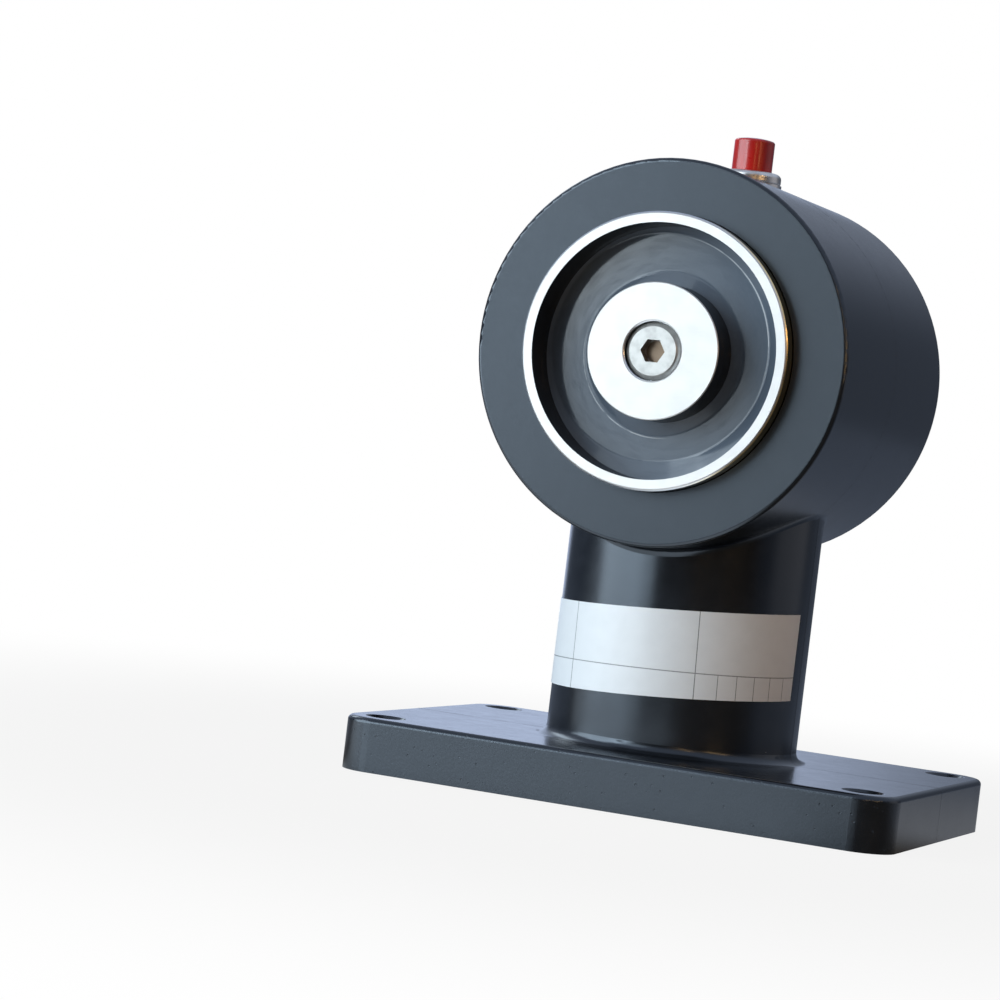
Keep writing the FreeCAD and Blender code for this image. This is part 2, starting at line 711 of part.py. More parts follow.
def switch_body():
    """Moulded cup under the bush, slotted for the two contact strips."""
    body, _ = turned_on_switch("switch_body", [
        ("0", BODY_FOOT),
        (BODY_RADIUS, BODY_FOOT),
        (BODY_RADIUS, FLANGE_UNDER),
        ("body_cavity_dia / 2", FLANGE_UNDER),
        ("body_cavity_dia / 2", SPRING_FOOT),
        ("0", SPRING_FOOT),
    ])
    slots = add_sketch(body, "strip_slots", "XY_Plane", off_plane=BODY_FOOT)
    inner = f"({STRIP_OFFSET} - strip_thick)"
    outer = f"({STRIP_OFFSET} + strip_thick + contact_gap)"
    half = "(strip_width / 2 + contact_gap)"
    add_block_outline(slots, inner, outer, f"-{half}", half)
    add_block_outline(slots, f"-{outer}", f"-{inner}", f"-{half}", half)
    add_feature(body, "Pocket", "slots", slots, Reversed=True,
                Length="body_height - contact_drop + strip_thick + contact_gap")
    return body


def switch_terminals():
    """Two bent contact strips whose tails are the solder tags."""
    strips = []
    for side, mark in (("", "right"), ("-", "left")):
        body = new_body("strip_" + mark)
        outline = add_sketch(body, "strip_outline_" + mark, "XZ_Plane", off_plane="-strip_width / 2")
        outer = f"{side}({STRIP_OFFSET} + strip_thick)"
        inner = f"{side}{STRIP_OFFSET}"
        tip = f"{side}({STRIP_OFFSET} - strip_reach)"
        tail = f"({BODY_FOOT} - strip_tail)"
        crown = f"({CONTACT_UNDER} + strip_thick)"
        add_outline(outline, [
            (outer, tail), (outer, crown), (tip, crown), (tip, CONTACT_UNDER),
            (inner, CONTACT_UNDER), (inner, tail),
        ])
        add_feature(body, "Pad", "strip_pad_" + mark, outline, Length="strip_width")
        body.setExpression("Placement.Base.y", dim(SWITCH_BACK))
        doc.recompute()
        strips.append(body)
    return group("switch_terminals", strips)


def button_spring():
    """Compression spring between the cup's floor and the bridge, swept on a helix."""
    wire_radius = number("spring_wire / 2")
    low = number(SPRING_FOOT) + wire_radius + number("spring_clearance")
    high = number(BRIDGE_FOOT) - wire_radius - number("spring_clearance")
    radius = number("spring_mean_dia / 2")
    helix = Part.makeLongHelix((high - low) / number("spring_turns"), high - low, radius)
    section = Part.Wire(Part.makeCircle(wire_radius, V(radius, 0, 0), V(0, 1, 0)))
    spring = doc.addObject("Part::Feature", "button_spring")
    spring.Label = "button_spring"
    spring.Shape = Part.Wire(helix.Edges).makePipeShell([section], True, True)
    spring.Placement = FreeCAD.Placement(V(0, number(SWITCH_BACK), low), FreeCAD.Rotation())
    return spring


def terminal_block():
    """Two-pole terminal block, open for the clamps, their screws and the fixing screw."""
    body = new_body("terminal_block")
    outline = add_sketch(body, "block_outline", "XY_Plane", off_plane="block_recess")
    add_block_outline(outline, f"-{BLOCK_LENGTH} / 2", f"{BLOCK_LENGTH} / 2", BLOCK_FRONT, BLOCK_REACH)
    block = add_feature(body, "Pad", "block", outline, Length="block_height")
    upright = number("block_height") - 0.01
    dress(body, "Fillet", "block_corners", block,
          edges_of(block, lambda e: e.BoundBox.ZLength > upright), "block_corner")

    # Through bores for the two brass clamps, along Y
    clamps = add_sketch(body, "clamp_circles", "XZ_Plane", off_plane=f"-{BLOCK_FRONT}")
    for side in ("-", ""):
        add_circle(clamps, f"{side}{CLAMP_SPACING} / 2", CLAMP_HEIGHT, "clamp_dia / 2 + contact_gap")
    add_feature(body, "Pocket", "clamp_bores", clamps, Length="block_depth")

    # Screw wells from below, and the fixing screw's stepped hole
    wells = add_sketch(body, "well_circles", "XY_Plane", off_plane="block_recess")
    for side in ("-", ""):
        for step in ("-", "+"):
            add_circle(wells, f"{side}{CLAMP_SPACING} / 2", f"block_back {step} clamp_screw_spacing / 2",
                       "clamp_screw_dia / 2 + clamp_well_room")
    add_feature(body, "Pocket", "wells", wells, Reversed=True, Length="clamp_rise")
    for name, radius, length in (
            ("fixing_hole", "fixing_screw_dia / 2 + clamp_well_room", "block_height"),
            ("head_seat", "fixing_head_dia / 2 + clamp_well_room", "fixing_head_seat")):
        circle = add_sketch(body, name + "_circle", "XY_Plane", off_plane="block_recess")
        add_circle(circle, "0", "block_back", radius)
        add_feature(body, "Pocket", name, circle, Reversed=True, Length=length)
    return body


def terminal_clamps():
    """Two brass tube clamps, each bored for the wire and tapped for two screws."""
    pieces = []
    for side, mark in (("-", "left"), ("", "right")):
        body = new_body("clamp_" + mark)
        ring = add_sketch(body, "clamp_ring_" + mark, "XZ_Plane",
                          off_plane=f"-{BLOCK_REACH} + clamp_end_gap")
        add_circle(ring, f"{side}{CLAMP_SPACING} / 2", CLAMP_HEIGHT, "clamp_dia / 2")
        add_circle(ring, f"{side}{CLAMP_SPACING} / 2", CLAMP_HEIGHT, "clamp_bore / 2")
        add_feature(body, "Pad", "clamp_tube_" + mark, ring, Length="block_depth - 2 * clamp_end_gap")
        taps = add_sketch(body, "clamp_taps_" + mark, "XY_Plane", off_plane="block_recess")
        for step in ("-", "+"):
            add_circle(taps, f"{side}{CLAMP_SPACING} / 2", f"block_back {step} clamp_screw_spacing / 2",
                       "clamp_screw_dia / 2 + thread_clearance")
        add_feature(body, "Pocket", "clamp_tapped_" + mark, taps, Reversed=True, Length="clamp_rise")
        pieces.append(body)
    return group("terminal_clamps", pieces)


def terminal_clamp_screws():
    """Four slotted clamp screws, driven from below until they hold the diode's leads."""
    pieces = []
    top = f"({CLAMP_HEIGHT} - diode_lead_dia / 2 - contact_gap)"
    for side in ("-", ""):
        for step in ("-", "+"):
            mark = "%d" % len(pieces)
            body = new_body("clamp_screw_" + mark)
            circle = add_sketch(body, "clamp_screw_circle_" + mark, "XY_Plane",
                                off_plane=f"{top} - clamp_screw_length")
            across = f"{side}{CLAMP_SPACING} / 2"
            along = f"block_back {step} clamp_screw_spacing / 2"
            add_circle(circle, across, along, "clamp_screw_dia / 2")
            add_feature(body, "Pad", "clamp_screw_shank_" + mark, circle, Length="clamp_screw_length")
            slot = add_sketch(body, "clamp_screw_slot_" + mark, "XY_Plane",
                              off_plane=f"{top} - clamp_screw_length")
            add_block_outline(slot, f"{across} - clamp_screw_dia", f"{across} + clamp_screw_dia",
                              f"{along} - screw_slot / 2", f"{along} + screw_slot / 2")
            add_feature(body, "Pocket", "clamp_screw_cut_" + mark, slot, Reversed=True,
                        Length="screw_slot")
            pieces.append(body)
    return group("terminal_clamp_screws", pieces)


def terminal_fixing_screw():
    """Cheese-head screw that holds the block up against its lug."""
    seat = "(block_recess + fixing_head_seat)"
    foot = f"({seat} - fixing_head_height)"
    tip = f"({seat} + fixing_screw_length)"
    body = new_body("terminal_fixing_screw")
    turn(body, "fixing_screw", [
        ("0", foot),
        ("fixing_head_dia / 2", foot),
        ("fixing_head_dia / 2", seat),
        ("fixing_screw_dia / 2", seat),
        ("fixing_screw_dia / 2", tip),
        ("0", tip),
    ], role="XZ_Plane")
    slot = add_sketch(body, "fixing_slot", "XY_Plane", off_plane=foot)
    add_block_outline(slot, "-fixing_head_dia", "fixing_head_dia", "-screw_slot / 2", "screw_slot / 2")
    add_feature(body, "Pocket", "fixing_slot_cut", slot, Reversed=True, Length="fixing_head_height / 2")
    body.setExpression("Placement.Base.y", dim("block_back"))
    doc.recompute()
    return body


def suppression_diode():
    """Diode across the two clamps: body, and leads bent back into the clamp bores."""
    radius = number("diode_lead_dia / 2")
    half = number(f"{CLAMP_SPACING} / 2")
    inside = number(f"{BLOCK_FRONT} + diode_lead_grip")
    outside = number(f"{BLOCK_FRONT} - diode_stand_off")
    bend = number("diode_bend")
    cut = bend * (1 - math.sqrt(0.5))
    edges = []
    for side in (-1, 1):
        start = V(side * half, inside, 0)
        knee = V(side * half, outside + bend, 0)
        corner = V(side * (half - cut), outside + cut, 0)
        level = V(side * (half - bend), outside, 0)
        edges.append([Part.LineSegment(start, knee).toShape(), Part.Arc(knee, corner, level).toShape()])
    left, right = edges
    bridge = Part.LineSegment(V(bend - half, outside, 0), V(half - bend, outside, 0)).toShape()
    path = Part.Wire(left + [bridge] + right[::-1])
    section = Part.Wire(Part.makeCircle(radius, V(-half, inside, 0), V(0, 1, 0)))
    leads = path.makePipeShell([section], True, True)
    length = number("diode_length")
    case = Part.makeCylinder(number("diode_dia / 2"), length, V(-length / 2, outside, 0), V(1, 0, 0))
    diode = doc.addObject("Part::Feature", "suppression_diode")
    diode.Label = "suppression_diode"
    diode.Shape = leads.fuse(case).removeSplitter()
    diode.Placement = FreeCAD.Placement(V(0, 0, number(CLAMP_HEIGHT)), FreeCAD.Rotation())
    return diode


def label():
    """Foil label wrapped round the neck's front, stuck on a little out of level."""
    height = number("label_height")
    middle = V(0, 0, number(LABEL_MIDDLE))
    lean = FreeCAD.Rotation(V(1, 0, 0), number("label_lean"))
    tilt = FreeCAD.Rotation(V(0, 1, 0), -number("label_tilt")).multiply(lean)
    start = FreeCAD.Rotation(V(0, 0, 1), -90 - number("label_angle / 2"))
    skin_foot = middle - V(0, 0, height)
    outer = doc.addObject("Part::Cylinder", "label_outside")
    outer.setExpression("Radius", dim(f"{NECK_RADIUS} + label_gap + label_thick"))
    outer.setExpression("Angle", dim("label_angle"))
    outer.Placement = FreeCAD.Placement(skin_foot, start)
    inner = doc.addObject("Part::Cylinder", "label_inside")
    inner.setExpression("Radius", dim(f"{NECK_RADIUS} + label_gap"))
    inner.Placement = FreeCAD.Placement(skin_foot, FreeCAD.Rotation())
    for piece in (outer, inner):
        piece.setExpression("Height", dim("2 * label_height"))
    skin = doc.addObject("Part::Cut", "label_skin")
    skin.Base = outer
    skin.Tool = inner
    band = doc.addObject("Part::Box", "label_band")
    for key in ("Length", "Width"):
        band.setExpression(key, dim(f"4 * {NECK_RADIUS}"))
    band.setExpression("Height", dim("label_height"))
    corner = V(-2 * number(NECK_RADIUS), -2 * number(NECK_RADIUS), -height / 2)
    band.Placement = FreeCAD.Placement(tilt.multVec(corner) + middle, tilt)
    foil = doc.addObject("Part::Common", "label")
    foil.Label = "label"
    foil.Base = skin
    foil.Tool = band
    doc.recompute()
    return foil


NODES = [
    housing(),
    magnet_pot(),
    coil_bobbin(),
    coil_winding(),
    potting_resin(),
    lead_bushing(),
    magnet_screw(),
    switch_bush(),
    switch_washer(),
    switch_ring_nut(),
    switch_body(),
    switch_terminals(),
    button_cap(),
    button_plunger(),
    contact_bridge(),
    button_spring(),
    terminal_block(),
    terminal_clamps(),
    terminal_clamp_screws(),
    terminal_fixing_screw(),
    suppression_diode(),
    label(),
]

doc.recompute()
failed = [o.Name for o in doc.Objects if "Invalid" in o.State or "Error" in o.State]
if failed:
    raise RuntimeError("objects left failed: " + ", ".join(failed))
for node in NODES:
    if node.Shape.isNull() or not node.Shape.isValid() or not node.Shape.Solids:
        raise RuntimeError("shape is not sound: " + node.Label)

os.makedirs("parts", exist_ok=True)
for node in NODES:
    node.Shape.exportStep(f"parts/{node.Label}.step")
    print(f"{node.Label:24s} solids {len(node.Shape.Solids)}  volume {node.Shape.Volume:.2f}")
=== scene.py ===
"""Finishes, cast seam, floor, lamps and camera for an electromagnetic door holder.

Everything is in metres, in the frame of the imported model: +Z up the neck, -Y out of the
pole face, +X along the long side of the base. Sizes in the settings are in millimetres
where their name says so, because that is how the finishes are measured.
"""
import math

import bpy
import numpy as np
from bpy.props import FloatProperty, FloatVectorProperty, PointerProperty
from mathutils import Matrix, Vector


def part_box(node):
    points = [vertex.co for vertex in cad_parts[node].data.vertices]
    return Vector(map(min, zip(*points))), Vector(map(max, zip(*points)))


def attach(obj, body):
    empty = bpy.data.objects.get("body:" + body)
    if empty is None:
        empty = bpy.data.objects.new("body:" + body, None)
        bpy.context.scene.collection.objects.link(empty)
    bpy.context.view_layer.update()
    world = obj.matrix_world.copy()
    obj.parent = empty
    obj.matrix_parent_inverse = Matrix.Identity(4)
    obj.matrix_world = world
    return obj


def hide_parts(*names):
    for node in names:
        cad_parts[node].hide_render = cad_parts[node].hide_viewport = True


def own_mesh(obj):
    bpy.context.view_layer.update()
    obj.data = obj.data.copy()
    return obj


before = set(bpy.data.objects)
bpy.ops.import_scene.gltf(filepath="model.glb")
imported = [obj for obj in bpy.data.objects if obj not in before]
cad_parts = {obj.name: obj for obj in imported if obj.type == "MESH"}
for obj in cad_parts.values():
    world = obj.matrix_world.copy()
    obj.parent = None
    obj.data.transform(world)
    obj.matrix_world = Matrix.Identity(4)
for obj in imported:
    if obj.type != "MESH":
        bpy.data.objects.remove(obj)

bl_info = {
    "name": "Door Holder Finishes",
    "version": (1, 0, 0),
    "blender": (4, 5, 0),
    "location": "3D View > Sidebar > Door Holder",
    "description": "Finishes, cast seam, floor, lamps and camera for an electromagnetic door holder",
    "category": "Material",
}

MM = 0.001
POT_LOW, POT_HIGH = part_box("magnet_pot")
AXIS_HEIGHT = (POT_LOW.z + POT_HIGH.z) / 2
HOUSING_LOW, HOUSING_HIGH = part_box("housing")
CAP_LOW, CAP_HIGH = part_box("button_cap")
SWITCH_Y = (CAP_LOW.y + CAP_HIGH.y) / 2


def colour_setting(name, description, default):
    """A colour in the settings, shown with a colour swatch."""
    return FloatVectorProperty(
        name=name, description=description, default=default, subtype="COLOR", min=0.0, soft_max=1.0
    )


def number_setting(name, description, default, low=0.0, high=1.0):
    """A plain number in the settings."""
    return FloatProperty(
        name=name, description=description, default=default, min=low, max=high, precision=4
    )


def length_setting(name, description, default):
    """A length in the settings, in metres."""
    return FloatProperty(
        name=name, description=description, default=default, min=0.0, subtype="DISTANCE",
        unit="LENGTH", precision=6,
    )


# Shader maths


class Value:
    """The output of a node. Arithmetic on it adds the Math nodes that work it out."""

    def __init__(self, shop, output):
        self.shop = shop
        self.output = output

    def pick(self, name):
        """Another output of the same node."""
        return Value(self.shop, self.output.node.outputs[name])

    def __add__(self, other):
        return self.shop.maths("ADD", self, other)

    def __radd__(self, other):
        return self.shop.maths("ADD", other, self)

    def __sub__(self, other):
        return self.shop.maths("SUBTRACT", self, other)

    def __rsub__(self, other):
        return self.shop.maths("SUBTRACT", other, self)

    def __mul__(self, other):
        return self.shop.maths("MULTIPLY", self, other)

    def __rmul__(self, other):
        return self.shop.maths("MULTIPLY", other, self)

    def __truediv__(self, other):
        return self.shop.maths("DIVIDE", self, other)

    def __rtruediv__(self, other):
        return self.shop.maths("DIVIDE", other, self)

    def __pow__(self, other):
        return self.shop.maths("POWER", self, other)

    def __neg__(self):
        return self.shop.maths("MULTIPLY", self, -1.0)

    def __abs__(self):
        return self.shop.maths("ABSOLUTE", self)


class Shop:
    """A node tree that is being filled with nodes."""

    def __init__(self, tree):
        self.tree = tree
        tree.nodes.clear()

    def add(self, kind, settings=None, sockets=None, output=0):
        """Add one node: its type, then its settings, then the values or links of its sockets."""
        node = self.tree.nodes.new(kind)
        for name, value in (settings or {}).items():
            setattr(node, name, value)
        for key, value in (sockets or {}).items():
            if isinstance(value, Value):
                self.tree.links.new(value.output, node.inputs[key])
            else:
                node.inputs[key].default_value = value
        return Value(self, node.outputs[output]) if node.outputs else None

    def maths(self, operation, first, second=None, third=None):
        """One Math node on numbers."""
        given = [v for v in (first, second, third) if v is not None]
        return self.add("ShaderNodeMath", {"operation": operation}, dict(enumerate(given)))

    def ramp(self, value, low, high):
        """0 below low, 1 above high and a smooth S between them; falls instead where low is above high."""
        return self.add(
            "ShaderNodeMapRange", {"interpolation_type": "SMOOTHSTEP"},
            {"Value": value, "From Min": low, "From Max": high, "To Min": 0.0, "To Max": 1.0},
        )

    def band(self, value, half_width, soft):
        """1 where value is within half_width of zero, 0 further out, with a soft edge."""
        return self.ramp(abs(value), half_width + soft / 2, half_width - soft / 2)

    def blend(self, share, first, second):
        """A mix of two colours."""
        colours = [
            c if isinstance(c, Value) else (*tuple(c)[:3], 1.0) for c in (first, second)
        ]
        return self.add(
            "ShaderNodeMix", {"data_type": "RGBA"}, {0: share, 6: colours[0], 7: colours[1]}, 2
        )

    def place(self):
        """The object's coordinates: the position vector and its three parts in metres."""
        position = self.add("ShaderNodeTexCoord", output="Object")
        parts = self.add("ShaderNodeSeparateXYZ", None, {0: position})
        return position, parts, parts.pick("Y"), parts.pick("Z")

    def grain(self, position, size, detail=2.0, stretch=(1.0, 1.0, 1.0)):
        """Soft noise from 0 to 1 whose lumps are about size metres across, longer where stretch is below 1."""
        moved = self.add(
            "ShaderNodeVectorMath", {"operation": "MULTIPLY"}, {0: position, 1: stretch}
        )
        return self.add(
            "ShaderNodeTexNoise", None, {"Vector": moved, "Scale": 1.0 / size, "Detail": detail}
        )

    def spots(self, position, size, radius):
        """1 inside round spots that are scattered about size metres apart, 0 outside them."""
        cells = self.add(
            "ShaderNodeTexVoronoi", {"feature": "F1"}, {"Vector": position, "Scale": 1.0 / size}
        )
        return self.ramp(cells, radius, radius * 0.45), cells.pick("Color")


class Finish(Shop):
    """A material made of one main surface, with its relief given in metres."""

    def __init__(self, name):
        self.material = bpy.data.materials.new(name)
        self.material.use_nodes = True
        super().__init__(self.material.node_tree)

    def close(self, relief=None, **sockets):
        """Feed the main surface from its sockets' values and the relief's height, and end the tree."""
        named = {key.replace("_", " ").title(): value for key, value in sockets.items()}
        if "Ior" in named:
            named["IOR"] = named.pop("Ior")
        if relief is not None:
            named["Normal"] = self.add(
                "ShaderNodeBump", None, {"Height": relief, "Distance": 1.0, "Strength": 1.0}
            )
        surface = self.add("ShaderNodeBsdfPrincipled", None, named)
        self.add("ShaderNodeOutputMaterial", None, {"Surface": surface})
        return self.material


def dress(node, material):
    """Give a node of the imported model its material."""
    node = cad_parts[node]
    node.data.materials.clear()
    node.data.materials.append(material)


# Surfaces worked out with numpy


def add_surface(name, points, closed_across=False, capped=False, closed_along=False):
    """Make a mesh from a grid of points, rows along the first index and columns along the second.

    Each quad joins neighbours in the grid. closed_across joins the last column to the first,
    closed_along the last row to the first, and capped closes the first and the last row with
    one face each.
    """
    rows, columns = points.shape[:2]
    down = np.arange(rows if closed_along else rows - 1)[:, None]
    under = (down + 1) % rows
    across = np.arange(columns if closed_across else columns - 1)[None, :]
    following = (across + 1) % columns
    faces = np.stack(
        [
            down * columns + across,
            down * columns + following,
            under * columns + following,
            under * columns + across,
        ],
        axis=-1,
    ).reshape(-1, 4).tolist()
    if capped:
        ring = np.arange(columns)
        faces += [ring[::-1].tolist(), (ring + (rows - 1) * columns).tolist()]
    mesh = bpy.data.meshes.new(name)
    mesh.from_pydata(points.reshape(-1, 3).tolist(), [], faces)
    mesh.validate()
    mesh.shade_smooth()
    piece = bpy.data.objects.new(name, mesh)
    bpy.context.scene.collection.objects.link(piece)
    return piece


def arc(centre_x, centre_z, radius, start, end, count):
    """Points on an arc in the X-Z plane: centre plus radius times (cosine, sine) of an even run of angles."""
    angle = np.radians(np.linspace(start, end, count))
    return np.stack([centre_x + radius * np.cos(angle), centre_z + radius * np.sin(angle)], axis=-1)


def run(x_from, z_from, x_to, z_to, count):
    """Evenly spaced points on a straight line in the X-Z plane."""
    return np.linspace((x_from, z_from), (x_to, z_to), count)


def seam_path(sizes):
    """The casting's outline in the plane Y = 0 from the top of the drum down to the base's end, on +X.

    It is the drum's arc, the round where the drum meets the neck, the neck's straight side, the
    round at the neck's foot, the base's top and the round and end face of the base, end to end.
    """
    drum = HOUSING_HIGH.z - AXIS_HEIGHT
    reach, neck = HOUSING_HIGH.x, sizes.neck_radius
    thick, top_round, foot_round, edge_round = (
        sizes.base_thickness, sizes.neck_top_round, sizes.neck_foot_round, sizes.base_edge_round
    )
    middle_x = neck + top_round
    middle_z = AXIS_HEIGHT - math.sqrt((drum + top_round) ** 2 - middle_x**2)
    meet = math.degrees(math.atan2(middle_z - AXIS_HEIGHT, middle_x))
    pieces = [
        arc(0.0, AXIS_HEIGHT, drum, 90.0, meet, 160),
        arc(middle_x, middle_z, top_round, meet + 180.0, 180.0, 8)[1:],
        run(neck, middle_z, neck, thick + foot_round, 50)[1:],
        arc(neck + foot_round, thick + foot_round, foot_round, 180.0, 270.0, 10)[1:],
        run(neck + foot_round, thick, reach - edge_round, thick, 40)[1:],
        arc(reach - edge_round, thick - edge_round, edge_round, 90.0, 0.0, 8)[1:],
        run(reach, thick - edge_round, reach, 0.0005, 14)[1:],
    ]
    return np.concatenate(pieces)


def seam_surface(sizes):
    """A low bead along the outline in the plane Y = 0.

    The path runs up one side and down the other. Across it, the bead is half an ellipse:
    y = half width times cosine t, height = bead height times sine t, and below the paint a
    shallow keel. The height swells and fades slowly along the path, and up the drum's sides it
    falls to a quarter along a smooth S, as dressed flash does.
    """
    half = seam_path(sizes)
    left = half[::-1] * np.array([-1.0, 1.0])
    path = np.concatenate([left, half[1:]])
    along = np.gradient(path, axis=0)
    along /= np.linalg.norm(along, axis=1, keepdims=True)
    outward = np.stack([-along[:, 1], along[:, 0]], axis=-1)
    travelled = np.concatenate([[0.0], np.cumsum(np.linalg.norm(np.diff(path, axis=0), axis=1))])
    swell = (
        0.72
        + 0.18 * np.sin(travelled / 0.0071 + 0.6)
        + 0.10 * np.sin(travelled / 0.0029 + 2.1)
    )
    swell *= 1.0 - 0.75 * smooth((path[:, 1] - 0.058) / 0.016)
    turn = np.linspace(0.0, 2.0 * math.pi, 16, endpoint=False)
    rise, side = np.sin(turn), np.cos(turn) * sizes.seam_width / 2
    height = np.where(
        rise[None, :] > 0.0,
        rise[None, :] * sizes.seam_height * swell[:, None],
        rise[None, :] * 0.00006,
    )
    x = path[:, 0, None] + outward[:, 0, None] * height
    z = path[:, 1, None] + outward[:, 1, None] * height
    y = np.broadcast_to(side[None, :], x.shape)
    return np.stack([x, y, z], axis=-1)


def smooth(share):
    """The smooth S that runs from 0 to 1 as share does: s times s times (3 - 2 s)."""
    share = np.clip(share, 0.0, 1.0)
    return share * share * (3.0 - 2.0 * share)


def resin_surface(sizes):
    """The ring of resin in the magnet's groove.

    Its profile runs from the pole out to the pot and back behind. The front is level in the middle and
    climbs towards both walls at a steady slope that sets in over a short bend along a smooth S. Its
    height at radius r is the running sum of the slope times the step in radius. The bends' radii vary
    with the sine and cosine of the angle, because the resin set a little out of level. The profile is
    turned about the drum's axis: x = r sine a, z = axis height + r cosine a.
    """
    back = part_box("potting_resin")[1].y
    inner, outer, edge = sizes.groove_in, sizes.groove_out, 0.00002
    radius = np.concatenate([
        [inner, inner + edge], np.linspace(inner + 0.0002, outer - 0.0002, 110), [outer - edge, outer],
    ])[:, None]
    angle = np.linspace(0.0, 2.0 * math.pi, 288, endpoint=False)[None, :]
    bend_out = (
        sizes.bend_out + 0.0010 * np.cos(angle) - 0.0015 * np.sin(angle) + 0.00012 * np.sin(3.0 * angle + 1.9)
    )
    bend_in = sizes.bend_in - 0.0006 * np.sin(angle) + 0.00010 * np.sin(4.0 * angle + 0.8)
    slope = sizes.resin_slope * (
        smooth((radius - bend_out) / sizes.bend_width) - smooth((bend_in - radius) / sizes.bend_width)
    )
    steps = np.diff(radius, axis=0, prepend=radius[:1])
    height = np.cumsum(slope * steps, axis=0)
    height -= height.min(axis=0, keepdims=True)
    front = POT_LOW.y + sizes.resin_level - height
    rear_radius = np.array([[outer], [outer - edge], [inner + edge], [inner]])
    y = np.concatenate([front, np.full((4, angle.size), back)])
    radius = np.concatenate([radius, rear_radius])
    return np.stack([radius * np.sin(angle), y, AXIS_HEIGHT + radius * np.cos(angle)], axis=-1)


def spring_surface(sizes):
    """The switch's return spring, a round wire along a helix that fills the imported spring's box.

    The helix point at share u of the way stands at the angle 2 pi turns u and climbs evenly. Round
    it the wire's surface adds half the wire times (cosine b outwards + sine b upwards).
    """
    low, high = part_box("button_spring")
    half = sizes.spring_wire / 2
    share = np.linspace(0.0, 1.0, 385)[:, None]
    turned = share * (2.0 * math.pi * sizes.spring_turns)
    around = np.linspace(2.0 * math.pi, 0.0, 16, endpoint=False)[None, :]
    outwards = (high.x - low.x) / 2 - half + half * np.cos(around)
    climb = low.z + half + (high.z - low.z - sizes.spring_wire) * share + half * np.sin(around)
    return np.stack([outwards * np.cos(turned), SWITCH_Y + outwards * np.sin(turned), climb], axis=-1)


# Settings


class CastingSettings(bpy.types.PropertyGroup):
    """Sizes and colours of the painted casting."""

    paint: colour_setting("Paint", "Colour of the satin black paint", (0.0055, 0.0066, 0.0088))
    paint_worn: colour_setting("Thin paint", "Colour of the paint where it lies thin", (0.0090, 0.0105, 0.0135))
    roughness: number_setting("Roughness", "Gloss of the paint on the round surfaces", 0.23)
    sheen: colour_setting("Sheen", "Tint of the paint's reflections", (0.78, 0.88, 1.0))
    face_roughness: number_setting("Face roughness", "Gloss of the paint on the flat dressed faces", 0.41)
    peel: length_setting("Orange peel", "Spacing of the paint's fine orange peel", 0.00075)
    peel_depth: length_setting("Orange peel depth", "Height of the orange peel", 0.0000022)
    sag: length_setting("Unevenness", "Spacing of the casting's slow unevenness", 0.009)
    sag_depth: length_setting("Unevenness depth", "Height of the slow unevenness", 0.000018)
    grit: length_setting("Grit", "Spacing of the casting's fine grit under the paint", 0.00046)
    grit_depth: length_setting("Grit depth", "Height of the grit on the base", 0.000018)
    pit_spacing: length_setting("Pit spacing", "Distance between cast pits near the base's edge", 0.0016)
    pit_depth: length_setting("Pit depth", "Depth of the cast pits", 0.00011)
    dust: colour_setting("Dust", "Colour of the few specks of dust", (0.45, 0.46, 0.48))
    seam_width: length_setting("Seam width", "Width of the parting seam", 0.0008)
    seam_height: length_setting("Seam height", "Height of the parting seam", 0.000032)
    neck_radius: length_setting("Neck radius", "Outer radius of the neck", 0.02365)
    neck_top_round: length_setting("Neck top round", "Radius where the neck meets the drum", 0.0015)
    neck_foot_round: length_setting("Neck foot round", "Radius where the neck meets the base", 0.002)
    base_thickness: length_setting("Base thickness", "Thickness of the base", 0.010)
    base_edge_round: length_setting("Base edge round", "Radius of the base's edges", 0.001)


